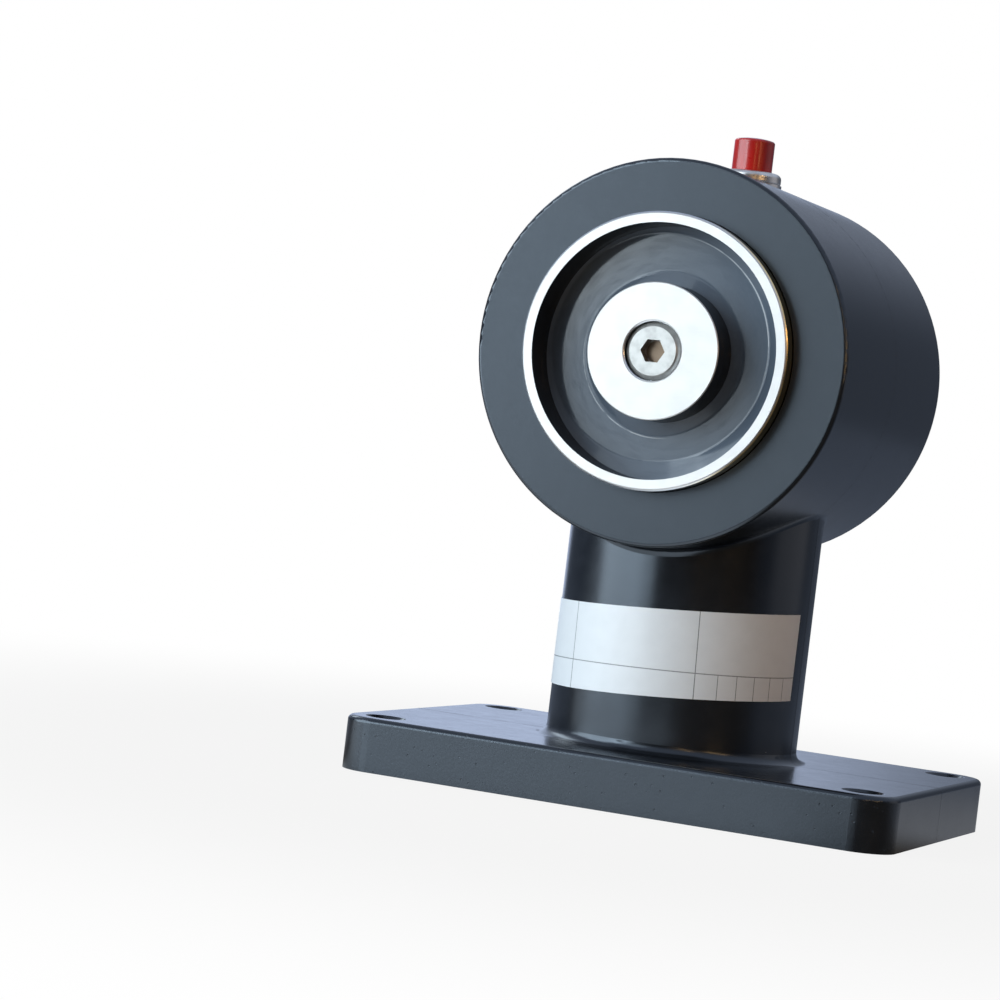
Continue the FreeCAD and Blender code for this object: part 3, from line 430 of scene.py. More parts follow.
class MagnetSettings(bpy.types.PropertyGroup):
    """Colours and finishes of the pot magnet and its coil."""

    steel: colour_setting("Plated steel", "Colour of the zinc plated pot", (0.66, 0.68, 0.71))
    # Painted reflection: a warm golden glint coloured into the pot's outer side towards +X.
    painted_warm_glint: colour_setting("Straw plate", "Colour of the straw yellow tarnish on the pot's +X side", (0.86, 0.68, 0.36))
    ground: colour_setting("Ground iron", "Colour of the ground pole and rim", (0.655, 0.64, 0.62))
    lacquer: colour_setting("Black lacquer", "Colour of the lacquered walls of the groove", (0.006, 0.006, 0.007))
    groove_in: length_setting("Groove inside", "Radius of the pole", 0.0124)
    groove_out: length_setting("Groove outside", "Outer radius of the groove", 0.0230)
    ground_roughness: number_setting("Ground roughness", "Gloss of the ground pole faces", 0.55)
    plate_roughness: number_setting("Plated roughness", "Gloss of the plated walls", 0.22)
    resin_level: length_setting("Resin level", "Depth of the resin's middle behind the pole face", 0.0079)
    resin_slope: number_setting("Resin slope", "Slope of the resin towards both walls", 0.33)
    bend_in: length_setting("Inner bend", "Mean radius where the resin starts to climb to the pole", 0.0152)
    bend_out: length_setting("Outer bend", "Mean radius where the resin starts to climb to the pot", 0.0204)
    bend_width: length_setting("Bend width", "Width over which the slope sets in", 0.0007)
    resin: colour_setting("Resin", "Colour of the casting resin", (0.078, 0.100, 0.132))
    resin_smudge: colour_setting("Resin smudge", "Colour of the resin's dull smudges", (0.115, 0.140, 0.175))
    resin_sheen: colour_setting("Resin sheen", "Tint of the resin's reflections", (0.74, 0.86, 1.0))
    resin_roughness: number_setting("Resin roughness", "Gloss of the clean resin", 0.46)
    resin_sweep: length_setting("Resin sweep", "How slowly the resin's smudges change round the ring", 0.005)
    screw: colour_setting("Screw steel", "Colour of the turned pole screw", (0.44, 0.43, 0.41))
    copper: colour_setting("Winding", "Colour of the enamelled wire", (0.55, 0.22, 0.09))
    wire: length_setting("Wire", "Spacing of the winding's turns", 0.00032)
    bobbin: colour_setting("Bobbin", "Colour of the bobbin's moulding", (0.045, 0.045, 0.048))
    nylon: colour_setting("Lead bushing", "Colour of the natural nylon bushing", (0.68, 0.65, 0.56))


class ButtonSettings(bpy.types.PropertyGroup):
    """Colours and finishes of the release button and its switch."""

    red: colour_setting("Button red", "Colour of the glossy red cap", (0.54, 0.012, 0.008))
    red_deep: colour_setting("Deep red", "Colour of the cap where the plastic looks deeper", (0.36, 0.006, 0.005))
    nickel: colour_setting("Nickel", "Colour of the nickel plated bush, washer and ring nut", (0.70, 0.69, 0.68))
    nickel_dull: colour_setting("Dull nickel", "Colour of the nickel where it has tarnished", (0.44, 0.40, 0.36))
    moulding: colour_setting("Switch moulding", "Colour of the switch's cup", (0.035, 0.032, 0.030))
    contact: colour_setting("Contact", "Colour of the silver plated contacts", (0.80, 0.74, 0.60))
    spring: colour_setting("Spring", "Colour of the drawn spring wire", (0.56, 0.55, 0.53))
    spring_wire: length_setting("Spring wire", "Width of the return spring's wire", 0.0004)
    spring_turns: number_setting("Spring turns", "Number of turns of the return spring", 4.0, 1, 20)
    travel: length_setting("Travel", "How far the button moves down", 0.002)


class TerminalSettings(bpy.types.PropertyGroup):
    """Colours and finishes of the supply terminal and the diode."""

    nylon: colour_setting("Terminal nylon", "Colour of the terminal's moulding", (0.78, 0.77, 0.71))
    brass: colour_setting("Terminal brass", "Colour of the turned clamps", (0.72, 0.54, 0.24))
    screw: colour_setting("Terminal screw", "Colour of the small plated screws", (0.66, 0.66, 0.64))
    diode: colour_setting("Diode", "Colour of the diode's body", (0.030, 0.030, 0.032))
    diode_band: colour_setting("Diode band", "Colour of the ring at one end of the diode", (0.62, 0.63, 0.65))


class LabelSettings(bpy.types.PropertyGroup):
    """Colours and rulings of the blank label on the neck."""

    foil: colour_setting("Foil", "Colour of the silver-white foil", (0.84, 0.86, 0.88))
    ink: colour_setting("Ruling", "Colour of the ruled lines", (0.10, 0.105, 0.115))
    rule_width: length_setting("Rule width", "Width of the ruled lines", 0.00017)
    rule_height: length_setting("Rule height", "Height of the level rule on the -Y side", 0.02546)
    left_rule: number_setting("Left rule", "Angle of the left upright rule, from -Y towards +X, in degrees", -37.9, -90, 90)
    right_rule: number_setting("Right rule", "Angle of the right upright rule in degrees", 25.1, -90, 90)
    first_box: number_setting("First box", "Angle of the first box divider in degrees", 35.4, -90, 90)
    box_step: number_setting("Box step", "Angle from one box divider to the next in degrees", 9.03, 1, 90)
    roughness: number_setting("Foil roughness", "Gloss of the foil", 0.38)


class StageSettings(bpy.types.PropertyGroup):
    """Floor, lamps, room and camera."""

    floor: colour_setting("Floor", "Colour of the floor", (0.44, 0.40, 0.35))
    floor_size: length_setting("Floor size", "Length of the floor's sides", 1.1)
    floor_drop: length_setting("Floor drop", "Gap between the base and the floor", 0.0001)
    main_light: colour_setting("Main light", "Colour of the large soft lamps", (0.80, 0.92, 1.0))
    main_level: number_setting("Main level", "Brightness of the large soft lamp's face", 5.0, 0, 20)
    front_level: number_setting("Front level", "Brightness of the lamp beside it", 3.4, 0, 20)
    high_level: number_setting("High level", "Brightness of the lamp above the view", 1.8, 0, 20)
    back_level: number_setting("Back level", "Brightness of the lamp behind the object", 3.0, 0, 20)
    side_light: colour_setting("Side light", "Colour of the narrow warm lamp", (1.0, 0.60, 0.26))
    side_level: number_setting("Side level", "Brightness of the narrow warm lamp's face", 11.0, 0, 20)
    fill_level: number_setting("Fill level", "Brightness of the wide warm fill lamp", 0.30, 0, 20)
    room: colour_setting("Room", "Colour of the dim room around", (0.095, 0.115, 0.155))
    dark: colour_setting("Dark side", "Colour of the room's dark side", (0.035, 0.030, 0.026))
    corner: colour_setting("Room corner", "Colour of the lighter corner on the right", (0.38, 0.38, 0.41))
    sky: colour_setting("Ceiling", "Colour of the light from above", (0.48, 0.55, 0.69))
    dimming: number_setting("Dimming", "How much less the room lights matt surfaces than it shows in glossy ones", 0.65)
    backdrop: colour_setting("Backdrop", "Colour of the backdrop in glossy surfaces", (0.88, 1.04, 1.40))
    focal: number_setting("Focal length", "Focal length in millimetres on a 36 mm wide image", 115.407, 10, 400)


# Operators


class DOORHOLDER_OT_paint_casting(bpy.types.Operator):
    """Satin black paint on the casting, with orange peel, cast pits near the base's edge and dust"""

    bl_idname = "doorholder.paint_casting"
    bl_label = "Paint the casting"

    def execute(self, context):
        s = context.scene.door_holder_casting
        f = Finish("satin_black_paint")
        position, x, y, z = f.place()
        facing = f.add("ShaderNodeSeparateXYZ", None, {0: f.add("ShaderNodeTexCoord", output="Normal")})
        flat = f.ramp(abs(facing.pick("Y")), 0.975, 0.998) * f.ramp(abs(y), 0.030, 0.032)
        upright = f.ramp(abs(facing.pick("Z")), 0.6, 0.3)
        peel = f.grain(position, s.peel, 1.0)
        sag = f.grain(position, s.sag, 2.0)
        cloud = f.grain(position, 0.004, 3.0)
        fine = f.grain(position, s.grit, 2.0)
        pits, _ = f.spots(position, s.pit_spacing, 0.13)
        low = f.ramp(z, s.base_thickness * 1.02, s.base_thickness * 0.9)
        scarce = f.ramp(f.grain(position, 0.007, 1.0), 0.34, 0.60)
        pits = pits * low * scarce
        specks, _ = f.spots(position, 0.0072, 0.022)
        specks = specks * f.ramp(f.grain(position, 0.021, 0.0), 0.60, 0.70)
        paint = f.blend(f.ramp(cloud, 0.35, 0.75), s.paint, s.paint_worn)
        paint = f.blend(specks, paint, s.dust)
        roughness = (
            s.roughness
            + flat * (s.face_roughness - s.roughness)
            + (cloud - 0.5) * 0.07
            + (peel - 0.5) * 0.04
            + (fine - 0.5) * (0.05 + flat * 0.13)
            + specks * 0.3
        )
        relief = (
            peel * s.peel_depth
            + sag * s.sag_depth
            + cloud * (s.peel_depth * 1.6)
            + fine * (low * upright + 0.07) * s.grit_depth
            - pits * s.pit_depth
            + specks * 0.00002
        )
        material = f.close(
            relief, base_color=paint, roughness=roughness, ior=1.64, specular_tint=(*s.sheen, 1.0)
        )
        dress("housing", material)
        return {"FINISHED"}


class DOORHOLDER_OT_cast_seam(bpy.types.Operator):
    """Low parting seam round the casting in the plane Y = 0, under the same paint"""

    bl_idname = "doorholder.cast_seam"
    bl_label = "Run the parting seam"

    def execute(self, context):
        s = context.scene.door_holder_casting
        seam = add_surface("parting_seam", seam_surface(s), closed_across=True, capped=True)
        seam.data.materials.append(bpy.data.materials["satin_black_paint"])
        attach(seam, "holder")
        return {"FINISHED"}


class DOORHOLDER_OT_finish_magnet(bpy.types.Operator):
    """Zinc plate on the pot with a painted warm glint on its +X side, ground on the pole and rim, and the turned pole
    screw
    """

    bl_idname = "doorholder.finish_magnet"
    bl_label = "Finish the magnet"

    def execute(self, context):
        s = context.scene.door_holder_magnet
        f = Finish("ground_zinc_plate")
        position, x, y, z = f.place()
        front = f.ramp(y, POT_LOW.y + 0.00025, POT_LOW.y + 0.00008)
        scratches = f.grain(position, 0.00022, 3.0, (0.045, 1.0, 1.0))
        crossed = f.grain(position, 0.00030, 2.0, (1.0, 1.0, 0.06))
        cloud = f.grain(position, 0.003, 3.0)
        height = z - AXIS_HEIGHT
        radius = (x * x + height * height) ** 0.5
        groove = f.band(
            radius - (s.groove_in + s.groove_out) / 2, (s.groove_out - s.groove_in) / 2 + 0.0001, 0.0001
        )
        walls = groove * (1 - front)
        steel = f.blend(front, s.steel, s.ground)
        steel = f.blend(f.ramp(cloud, 0.3, 0.8) * 0.3, steel, [c * 0.88 for c in s.ground])
        # Painted reflection: the pot's outer side towards +X is tinted with a warm golden glint.
        outside = f.ramp(radius, s.groove_out + 0.0017, s.groove_out + 0.0019) * (1 - front)
        steel = f.blend(outside * f.ramp(x, 0.006, 0.020), steel, s.painted_warm_glint)
        steel = f.blend(walls, steel, s.lacquer)
        roughness = (
            s.plate_roughness
            + front * (s.ground_roughness - s.plate_roughness)
            + (scratches - 0.5) * 0.12
            + (cloud - 0.5) * 0.10
        )
        relief = (scratches * front + crossed * 0.3 + cloud * 0.5) * 0.0000011
        dress("magnet_pot", f.close(relief, base_color=steel, metallic=1 - walls, roughness=roughness))

        f = Finish("turned_screw_steel")
        position, x, y, z = f.place()
        height = z - AXIS_HEIGHT
        radius = (x * x + height * height) ** 0.5
        rings = f.maths("SINE", radius * (2.0 * math.pi / 0.00022))
        cloud = f.grain(position, 0.0012, 3.0)
        face = f.ramp(y, POT_LOW.y + 0.0010, POT_LOW.y + 0.0004)
        inside = f.ramp(radius, 0.0022, 0.0018)
        steel = f.blend(f.ramp(cloud, 0.35, 0.8), s.screw, [c * 0.82 for c in s.screw])
        deep = f.ramp(y, POT_LOW.y + 0.0008, POT_LOW.y + 0.0022) * inside
        steel = f.blend(deep * 0.9, steel, (0.16, 0.105, 0.065))
        roughness = 0.42 + (cloud - 0.5) * 0.16 + rings * 0.03
        relief = rings * face * 0.0000012 + cloud * 0.0000022
        dress("magnet_screw", f.close(relief, base_color=steel, metallic=1.0, roughness=roughness))
        return {"FINISHED"}


class DOORHOLDER_OT_pour_resin(bpy.types.Operator):
    """Glossy black casting resin with dull smudges, dust, a slow waviness and painted highlight arcs along its bends"""

    bl_idname = "doorholder.pour_resin"
    bl_label = "Pour the resin"

    def execute(self, context):
        s = context.scene.door_holder_magnet
        f = Finish("black_casting_resin")
        position, x, y, z = f.place()
        height = z - AXIS_HEIGHT
        radius = (x * x + height * height) ** 0.5
        swept = f.add("ShaderNodeCombineXYZ", None, {
            0: x / radius * s.resin_sweep, 1: height / radius * s.resin_sweep, 2: radius,
        })
        wave = f.grain(position, 0.0050, 1.0)
        smear = f.grain(swept, 0.0009, 4.0)
        fine = f.grain(position, 0.0004, 2.0)
        smudge = f.ramp(smear, 0.36, 0.80)
        specks, _ = f.spots(position, 0.0024, 0.035)
        specks = specks * f.ramp(f.grain(position, 0.009, 0.0), 0.52, 0.66)
        east, up = x / radius, height / radius
        # Painted highlight: thin light arcs along the resin's bends, on the upper right of the outer bend and the lower
        # left of the inner one.
        outer_highlight_arc = f.band(radius - 0.0205 - up * 0.0010 + east * 0.0015, 0.00009, 0.00014)
        outer_highlight_arc = outer_highlight_arc * f.ramp(east * 0.80 + up * 0.60, 0.55, 0.95)
        inner_highlight_arc = f.band(radius - 0.0153 + east * 0.0006, 0.00009, 0.00014)
        inner_highlight_arc = inner_highlight_arc * f.ramp(east * -0.71 - up * 0.71, 0.50, 0.95)
        painted_highlight_arcs = (outer_highlight_arc + inner_highlight_arc) * f.ramp(smear, 0.30, 0.55)
        colour = f.blend(smudge * 0.45, s.resin, s.resin_smudge)
        colour = f.blend(painted_highlight_arcs * 0.75, colour, (0.62, 0.64, 0.66))
        colour = f.blend(specks * 0.8, colour, (0.30, 0.32, 0.35))
        roughness = s.resin_roughness + smudge * 0.14 + (fine - 0.5) * 0.06
        relief = wave * 0.000042 + smudge * 0.0000020 + fine * 0.0000006 + specks * 0.00001
        material = f.close(
            relief, base_color=colour, roughness=roughness, ior=1.38, specular_tint=(*s.resin_sheen, 1.0),
            coat_weight=0.58 - smudge * 0.20, coat_roughness=0.08,
        )
        pool = add_surface("resin_pool", resin_surface(s), closed_across=True, closed_along=True)
        pool.data.materials.append(material)
        dress("potting_resin", material)
        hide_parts("potting_resin")
        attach(pool, "holder")
        return {"FINISHED"}


class DOORHOLDER_OT_wind_coil(bpy.types.Operator):
    """Enamelled wire, bobbin and lead bushing inside the pot"""

    bl_idname = "doorholder.wind_coil"
    bl_label = "Wind the coil"

    def execute(self, context):
        s = context.scene.door_holder_magnet
        f = Finish("enamelled_wire")
        position, x, y, z = f.place()
        height = z - AXIS_HEIGHT
        radius = (x * x + height * height) ** 0.5
        turns = abs(f.maths("SINE", (y + radius * 0.5) * (math.pi / s.wire)))
        tone = f.grain(position, 0.002, 2.0)
        copper = f.blend(f.ramp(tone, 0.3, 0.8), s.copper, [c * 0.7 for c in s.copper])
        dress("coil_winding", f.close(
            turns * (s.wire * 0.3), base_color=copper, metallic=0.9, roughness=0.28 + (tone - 0.5) * 0.1,
        ))
        moulding("bobbin_moulding", s.bobbin, 0.5, ["coil_bobbin"])
        moulding("natural_nylon", s.nylon, 0.42, ["lead_bushing"])
        return {"FINISHED"}


def moulding(name, colour, roughness, nodes):
    """Dull moulded plastic: a slow flow pattern in the colour and a fine sparked texture."""
    f = Finish(name)
    position, x, y, z = f.place()
    flow = f.grain(position, 0.004, 2.0, (1.0, 0.4, 1.0))
    spark = f.grain(position, 0.00018, 1.0)
    shade = f.blend(f.ramp(flow, 0.3, 0.75), colour, [c * 0.86 for c in colour])
    material = f.close(
        spark * 0.000004 + flow * 0.00001, base_color=shade,
        roughness=roughness + (spark - 0.5) * 0.12 + (flow - 0.5) * 0.08,
    )
    for node in nodes:
        dress(node, material)


def plated(name, colour, dull, roughness, nodes, centre=None, pitch=0.00016):
    """Plated or turned metal: tarnish clouds, and fine turning rings round an upright axis where centre is given."""
    f = Finish(name)
    position, x, y, z = f.place()
    cloud = f.grain(position, 0.0016, 3.0)
    brushed = f.grain(position, 0.00012, 2.0, (1.0, 1.0, 0.2))
    relief = cloud * 0.0000015 + brushed * 0.0000006
    if centre is not None:
        across, deep = x - centre[0], y - centre[1]
        radius = (across * across + deep * deep) ** 0.5
        relief = relief + f.maths("SINE", radius * (2.0 * math.pi / pitch)) * 0.0000008
    shade = f.blend(f.ramp(cloud, 0.38, 0.78), colour, dull)
    material = f.close(
        relief, base_color=shade, metallic=1.0,
        roughness=roughness + (cloud - 0.5) * 0.20 + (brushed - 0.5) * 0.10,
    )
    for node in nodes:
        dress(node, material)


class DOORHOLDER_OT_finish_button(bpy.types.Operator):
    """Glossy red cap, nickel bush, washer, ring nut and plunger"""

    bl_idname = "doorholder.finish_button"
    bl_label = "Finish the button"

    def execute(self, context):
        s = context.scene.door_holder_button
        f = Finish("glossy_red_plastic")
        position, x, y, z = f.place()
        flow = f.grain(position, 0.0025, 2.0, (1.0, 1.0, 0.35))
        rub = f.grain(position, 0.00025, 3.0, (0.15, 1.0, 1.0))
        red = f.blend(f.ramp(flow, 0.3, 0.75), s.red, s.red_deep)
        dress("button_cap", f.close(
            flow * 0.000006 + rub * 0.0000005, base_color=red,
            roughness=0.30 + (rub - 0.5) * 0.14 + (flow - 0.5) * 0.06,
            coat_weight=0.30, coat_roughness=0.10,
        ))
        plated(
            "bright_nickel", s.nickel, s.nickel_dull, 0.30,
            ["switch_bush", "switch_washer", "switch_ring_nut", "button_plunger"], (0.0, SWITCH_Y),
        )
        return {"FINISHED"}


class DOORHOLDER_OT_finish_switch(bpy.types.Operator):
    """Switch cup, contact strips, bridge and return spring"""

    bl_idname = "doorholder.finish_switch"
    bl_label = "Finish the switch"

    def execute(self, context):
        s = context.scene.door_holder_button
        moulding("switch_moulding", s.moulding, 0.45, ["switch_body"])
        plated(
            "silver_plated_strip", s.contact, [c * 0.7 for c in s.contact], 0.30,
            ["switch_terminals", "contact_bridge"],
        )
        plated("drawn_spring_wire", s.spring, [c * 0.75 for c in s.spring], 0.30, ["button_spring"])
        spring = add_surface("return_spring", spring_surface(s), closed_across=True, capped=True)
        spring.data.materials.append(bpy.data.materials["drawn_spring_wire"])
        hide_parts("button_spring")
        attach(spring, "holder")
        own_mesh(spring)
        return {"FINISHED"}


class DOORHOLDER_OT_finish_terminal(bpy.types.Operator):
    """Supply terminal, its clamps and screws, and the diode across it"""

    bl_idname = "doorholder.finish_terminal"
    bl_label = "Finish the terminal"

    def execute(self, context):
        s = context.scene.door_holder_terminal
        moulding("terminal_nylon", s.nylon, 0.40, ["terminal_block"])
        plated("turned_brass", s.brass, [c * 0.72 for c in s.brass], 0.26, ["terminal_clamps"])
        plated(
            "small_plated_screws", s.screw, [c * 0.75 for c in s.screw], 0.32,
            ["terminal_clamp_screws", "terminal_fixing_screw"],
        )
        f = Finish("diode_and_leads")
        position, x, y, z = f.place()
        low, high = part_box("suppression_diode")
        body = f.ramp(abs(x), 0.00262, 0.00258) * f.ramp(y, low.y + 0.0029, low.y + 0.0027)
        ring = f.band(x - 0.0018, 0.00035, 0.0001)
        fine = f.grain(position, 0.0002, 2.0)
        colour = f.blend(ring, s.diode, s.diode_band)
        colour = f.blend(1 - body, colour, f.blend(fine, (0.70, 0.70, 0.69), (0.55, 0.55, 0.54)))
        dress("suppression_diode", f.close(
            fine * 0.000002, base_color=colour, metallic=1 - body, roughness=0.34 + (fine - 0.5) * 0.1,
        ))
        return {"FINISHED"}


class DOORHOLDER_OT_print_label(bpy.types.Operator):
    """Silver-white foil label with plain ruled boxes and no words"""

    bl_idname = "doorholder.print_label"
    bl_label = "Rule the label"

    def execute(self, context):
        s = context.scene.door_holder_label
        f = Finish("ruled_foil")
        position, x, y, z = f.place()
        angle = f.maths("ARCTAN2", x, -y) * math.degrees(1.0)
        rule = s.rule_width / 2
        turned = 0.02365 * math.radians(1.0)
        level = z - s.rule_height - angle * (0.0116 * MM)
        lean = (z - 0.028) * -85.0
        left = f.band((angle - s.left_rule - lean) * turned, rule, rule * 0.6)
        right = f.band((angle - s.right_rule - lean) * turned, rule, rule * 0.6)
        across = f.band(level, rule, rule * 0.6)
        below = f.ramp(level, 0.00003, -0.00003) * f.ramp(angle, s.right_rule - 1.0, s.right_rule)
        step = (angle - s.first_box - lean) / s.box_step
        nearest = step - f.maths("ROUND", step)
        boxes = f.band(nearest * (s.box_step * turned), rule * 0.8, rule * 0.6) * below
        boxes = boxes * f.ramp(angle, s.first_box - 4.0, s.first_box - 3.0)
        ink = f.maths("MAXIMUM", f.maths("MAXIMUM", left, right), f.maths("MAXIMUM", across, boxes))
        wear = f.grain(position, 0.0004, 2.0)
        ink = ink * (0.80 + (wear - 0.5) * 0.5)
        grain = f.grain(position, 0.0030, 3.0)
        foil = f.blend(f.ramp(grain, 0.3, 0.8), s.foil, [c * 0.965 for c in s.foil])
        crease = f.grain(position, 0.010, 2.0, (1.0, 1.0, 0.25))
        material = f.close(
            crease * 0.00006 + wear * 0.0000008,
            base_color=f.blend(ink, foil, s.ink),
            roughness=s.roughness + ink * 0.15 + (grain - 0.5) * 0.12,
            coat_weight=0.15, coat_roughness=0.2,
        )
        dress("label", material)
        return {"FINISHED"}


def level_lamp(name, colour, level, azimuth, height, distance, width, tall):
    """A flat soft lamp that faces the drum. level is the brightness of its face, where 1 is white."""
    data = bpy.data.lights.new(name, "AREA")
    data.shape = "RECTANGLE"
    data.size, data.size_y = width, tall
    data.color = colour[:3]
    data.energy = level * math.pi * width * tall
    lamp = bpy.data.objects.new(name, data)
    bpy.context.scene.collection.objects.link(lamp)
    turn = math.radians(azimuth)
    place = Vector((math.sin(turn) * distance, -math.cos(turn) * distance, height))
    aim = Vector((0.0, 0.0, AXIS_HEIGHT * 0.7)) - place
    lamp.matrix_world = Matrix.Translation(place) @ aim.to_track_quat("-Z", "Z").to_matrix().to_4x4()
    lamp.visible_camera = False
    return lamp


class DOORHOLDER_OT_set_stage(bpy.types.Operator):
    """White floor and background, soft lamps, dim room and the camera"""

    bl_idname = "doorholder.set_stage"
    bl_label = "Set the stage"

    def execute(self, context):
        s = context.scene.door_holder_stage
        self.lay_floor(s)
        self.light_room(s)
        level_lamp("main_soft_lamp", s.main_light, s.main_level, -50.0, 0.32, 1.5, 1.21, 1.5)
        level_lamp("front_soft_lamp", s.main_light, s.front_level, -24.5, 0.32, 1.5, 0.22, 1.5)
        level_lamp("high_soft_lamp", s.main_light, s.high_level, -22.0, 0.85, 1.5, 0.80, 0.70)
        level_lamp("warm_side_lamp", s.side_light, s.side_level, 32.0, 0.47, 1.5, 0.045, 0.60)
        level_lamp("low_warm_lamp", s.side_light, s.side_level * 0.60, 62.0, 0.43, 1.5, 0.10, 0.64)
        fill = level_lamp("warm_fill_lamp", s.side_light, s.fill_level, 62.0, 0.32, 1.5, 0.90, 1.5)
        fill.visible_glossy = False
        level_lamp("back_soft_lamp", s.main_light, s.back_level, -122.0, 0.95, 1.5, 0.55, 0.55)
        self.place_camera(s)
        context.scene.view_settings.view_transform = "Standard"
        return {"FINISHED"}

    def lay_floor(self, s):
        """A flat floor that looks white and keeps the object's soft shadow. In glossy surfaces it shows painted light
        and shade: a bright pool in front and to the left, and dark or dim floor elsewhere.
        """
        half = s.floor_size / 2
        corners = np.array([[[-half, -half], [half, -half]], [[-half, half], [half, half]]])
        points = np.concatenate([corners, np.full((2, 2, 1), -s.floor_drop)], axis=-1)
        floor = add_surface("floor", points)
        f = Finish("pale_floor")
        position, x, y, z = f.place()
        away = (x * x + y * y) ** 0.5
        near = f.ramp(away, 0.20, 0.05)
        close_by = f.ramp(y, -0.24, -0.14) * f.ramp(x, 0.050, 0.026)
        leftward = f.ramp(x - y * 0.325, 0.0, -0.10)
        painted_light_pool = f.ramp(y, -0.020, -0.050) * f.maths("MAXIMUM", close_by, leftward)
        path = f.add("ShaderNodeLightPath")
        glossy = path.pick("Is Glossy Ray")
        seen = f.maths("MAXIMUM", path, path.pick("Is Transmission Ray"))
        share = seen * (0.88 + f.ramp(away, 0.10, 0.30) * 0.12)
        matt = f.add("ShaderNodeBsdfDiffuse", None, {"Color": (*s.floor, 1.0)})
        # Painted light and shade for glossy rays: a bright pool in front and to the left, dark floor further in front
        # and dim grey behind.
        rear = f.blend(near, [c * 1.5 for c in s.room], (0.36, 0.38, 0.42))
        painted_floor_reflection = f.blend(f.ramp(y, -0.03, 0.02), (0.10, 0.09, 0.08), rear)
        painted_floor_reflection = f.blend(painted_light_pool, painted_floor_reflection, (1.30, 1.42, 1.52))
        shown = f.blend(glossy, (1.0, 1.0, 1.0), painted_floor_reflection)
        white = f.add("ShaderNodeEmission", None, {"Color": shown, "Strength": 1.0})
        surface = f.add(
            "ShaderNodeMixShader", None, {0: f.maths("MAXIMUM", share, glossy), 1: matt, 2: white}
        )
        f.add("ShaderNodeOutputMaterial", None, {"Surface": surface})
        floor.data.materials.append(f.material)

    def light_room(self, s):
        """A dim room, lighter overhead, with a white background where the camera looks."""
        world = bpy.data.worlds.new("studio")
        world.use_nodes = True
        bpy.context.scene.world = world
        f = Shop(world.node_tree)
        parts = f.add("ShaderNodeSeparateXYZ", None, {0: f.add("ShaderNodeTexCoord", output="Generated")})
        x, y, z = parts, parts.pick("Y"), parts.pick("Z")
        level = (1 - z * z) ** 0.5
        x, y = x / level, y / level
        behind = self.towards(f, x, y, -152.0, 16.5, 7.5) * f.ramp(z, 0.45, 0.20)
        shade = self.towards(f, x, y, 30.0, 55.0, 44.0)
        corner = self.towards(f, x, y, 119.0, 26.0, 14.0)
        left = self.towards(f, x, y, -140.0, 50.0, 15.0)
        above = f.ramp(z + left * 0.16, 0.15, 0.62)
        path = f.add("ShaderNodeLightPath")
        seen = f.maths("MAXIMUM", path, path.pick("Is Transmission Ray"))
        room = f.blend(corner, f.blend(shade, s.room, s.dark), s.corner)
        room = f.blend(above, room, s.sky)
        room = f.blend(path.pick("Is Glossy Ray") * behind, room, s.backdrop)
        shown = f.blend(seen, room, (1.0, 1.0, 1.0))
        strength = 1 - (1 - path.pick("Is Glossy Ray")) * (1 - seen) * s.dimming
        background = f.add("ShaderNodeBackground", None, {"Color": shown, "Strength": strength})
        f.add("ShaderNodeOutputWorld", None, {"Surface": background})

    def towards(self, f, x, y, azimuth, outer, inner):
        """1 within inner degrees of a direction, 0 beyond outer degrees."""
        turn = math.radians(azimuth)
        along = x * math.sin(turn) - y * math.cos(turn)
        return f.ramp(along, math.cos(math.radians(outer)), math.cos(math.radians(inner)))

    def place_camera(self, s):
        """The camera, by the azimuth, elevation and roll that it looks along."""
        azimuth, elevation, roll = (math.radians(v) for v in (21.89156, 0.830989, 6.849822))
        back = Vector((
            math.sin(azimuth) * math.cos(elevation),
            -math.cos(azimuth) * math.cos(elevation),
            math.sin(elevation),
        ))
        side = (-back).cross(Vector((0.0, 0.0, 1.0))).normalized()
        upright = side.cross(-back)
        across = side * math.cos(roll) + upright * math.sin(roll)
        upward = upright * math.cos(roll) - side * math.sin(roll)
        data = bpy.data.cameras.new("camera")
        data.sensor_fit = "HORIZONTAL"
        data.sensor_width = 36.0
        data.lens = s.focal
        data.clip_start = 0.01
        camera = bpy.data.objects.new("camera", data)
        bpy.context.scene.collection.objects.link(camera)
        turned = Matrix((across, upward, back)).transposed().to_4x4()
        camera.matrix_world = Matrix.Translation((0.190758, -0.575258, 0.061194)) @ turned
        bpy.context.scene.camera = camera


class DOORHOLDER_PT_finishes(bpy.types.Panel):
    """The steps that finish the door holder, in order"""

    bl_label = "Door Holder"
    bl_idname = "DOORHOLDER_PT_finishes"
    bl_space_type = "VIEW_3D"
    bl_region_type = "UI"
    bl_category = "Door Holder"

    def draw(self, context):
        for operator in OPERATORS:
            self.layout.operator(operator.bl_idname)


SETTINGS = {
    "door_holder_casting": CastingSettings,
    "door_holder_magnet": MagnetSettings,
    "door_holder_button": ButtonSettings,
    "door_holder_terminal": TerminalSettings,
    "door_holder_label": LabelSettings,
    "door_holder_stage": StageSettings,
}
OPERATORS = (
    DOORHOLDER_OT_paint_casting,
    DOORHOLDER_OT_cast_seam,
    DOORHOLDER_OT_finish_magnet,
    DOORHOLDER_OT_pour_resin,
    DOORHOLDER_OT_wind_coil,
    DOORHOLDER_OT_finish_button,
    DOORHOLDER_OT_finish_switch,
    DOORHOLDER_OT_finish_terminal,
    DOORHOLDER_OT_print_label,
    DOORHOLDER_OT_set_stage,
)


def register():
    """Register the classes and hang the settings on the scene."""
    for group in SETTINGS.values():
        bpy.utils.register_class(group)
    for name, group in SETTINGS.items():
        setattr(bpy.types.Scene, name, PointerProperty(type=group))
    for operator in OPERATORS:
        bpy.utils.register_class(operator)
    bpy.utils.register_class(DOORHOLDER_PT_finishes)


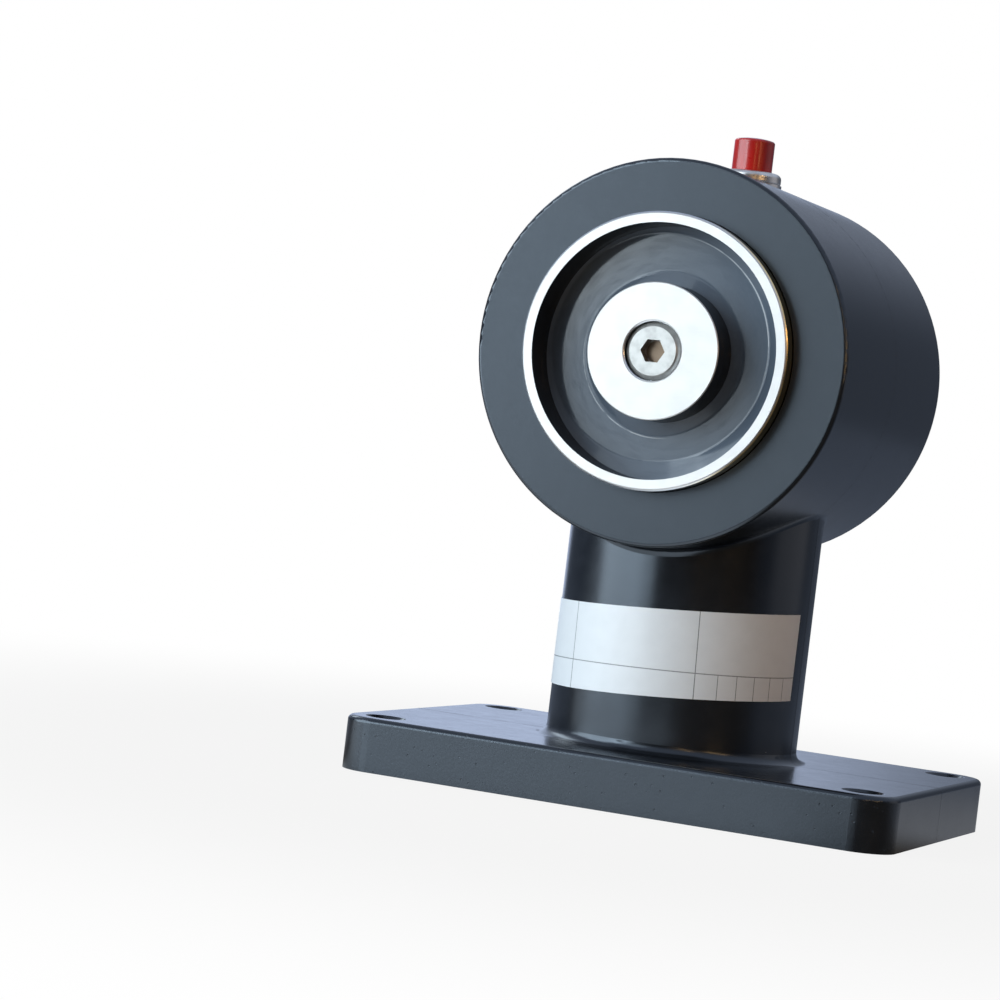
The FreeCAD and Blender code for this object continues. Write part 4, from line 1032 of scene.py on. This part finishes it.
def unregister():
    """Take everything off again, in the opposite order."""
    bpy.utils.unregister_class(DOORHOLDER_PT_finishes)
    for operator in reversed(OPERATORS):
        bpy.utils.unregister_class(operator)
    for name in SETTINGS:
        delattr(bpy.types.Scene, name)
    for group in reversed(list(SETTINGS.values())):
        bpy.utils.unregister_class(group)


def main():
    """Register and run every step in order."""
    register()
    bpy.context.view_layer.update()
    steps = bpy.ops.doorholder
    steps.paint_casting()
    steps.cast_seam()
    steps.finish_magnet()
    steps.pour_resin()
    steps.wind_coil()
    steps.finish_button()
    steps.finish_switch()
    steps.finish_terminal()
    steps.print_label()
    steps.set_stage()


if __name__ == "__main__":
    main()
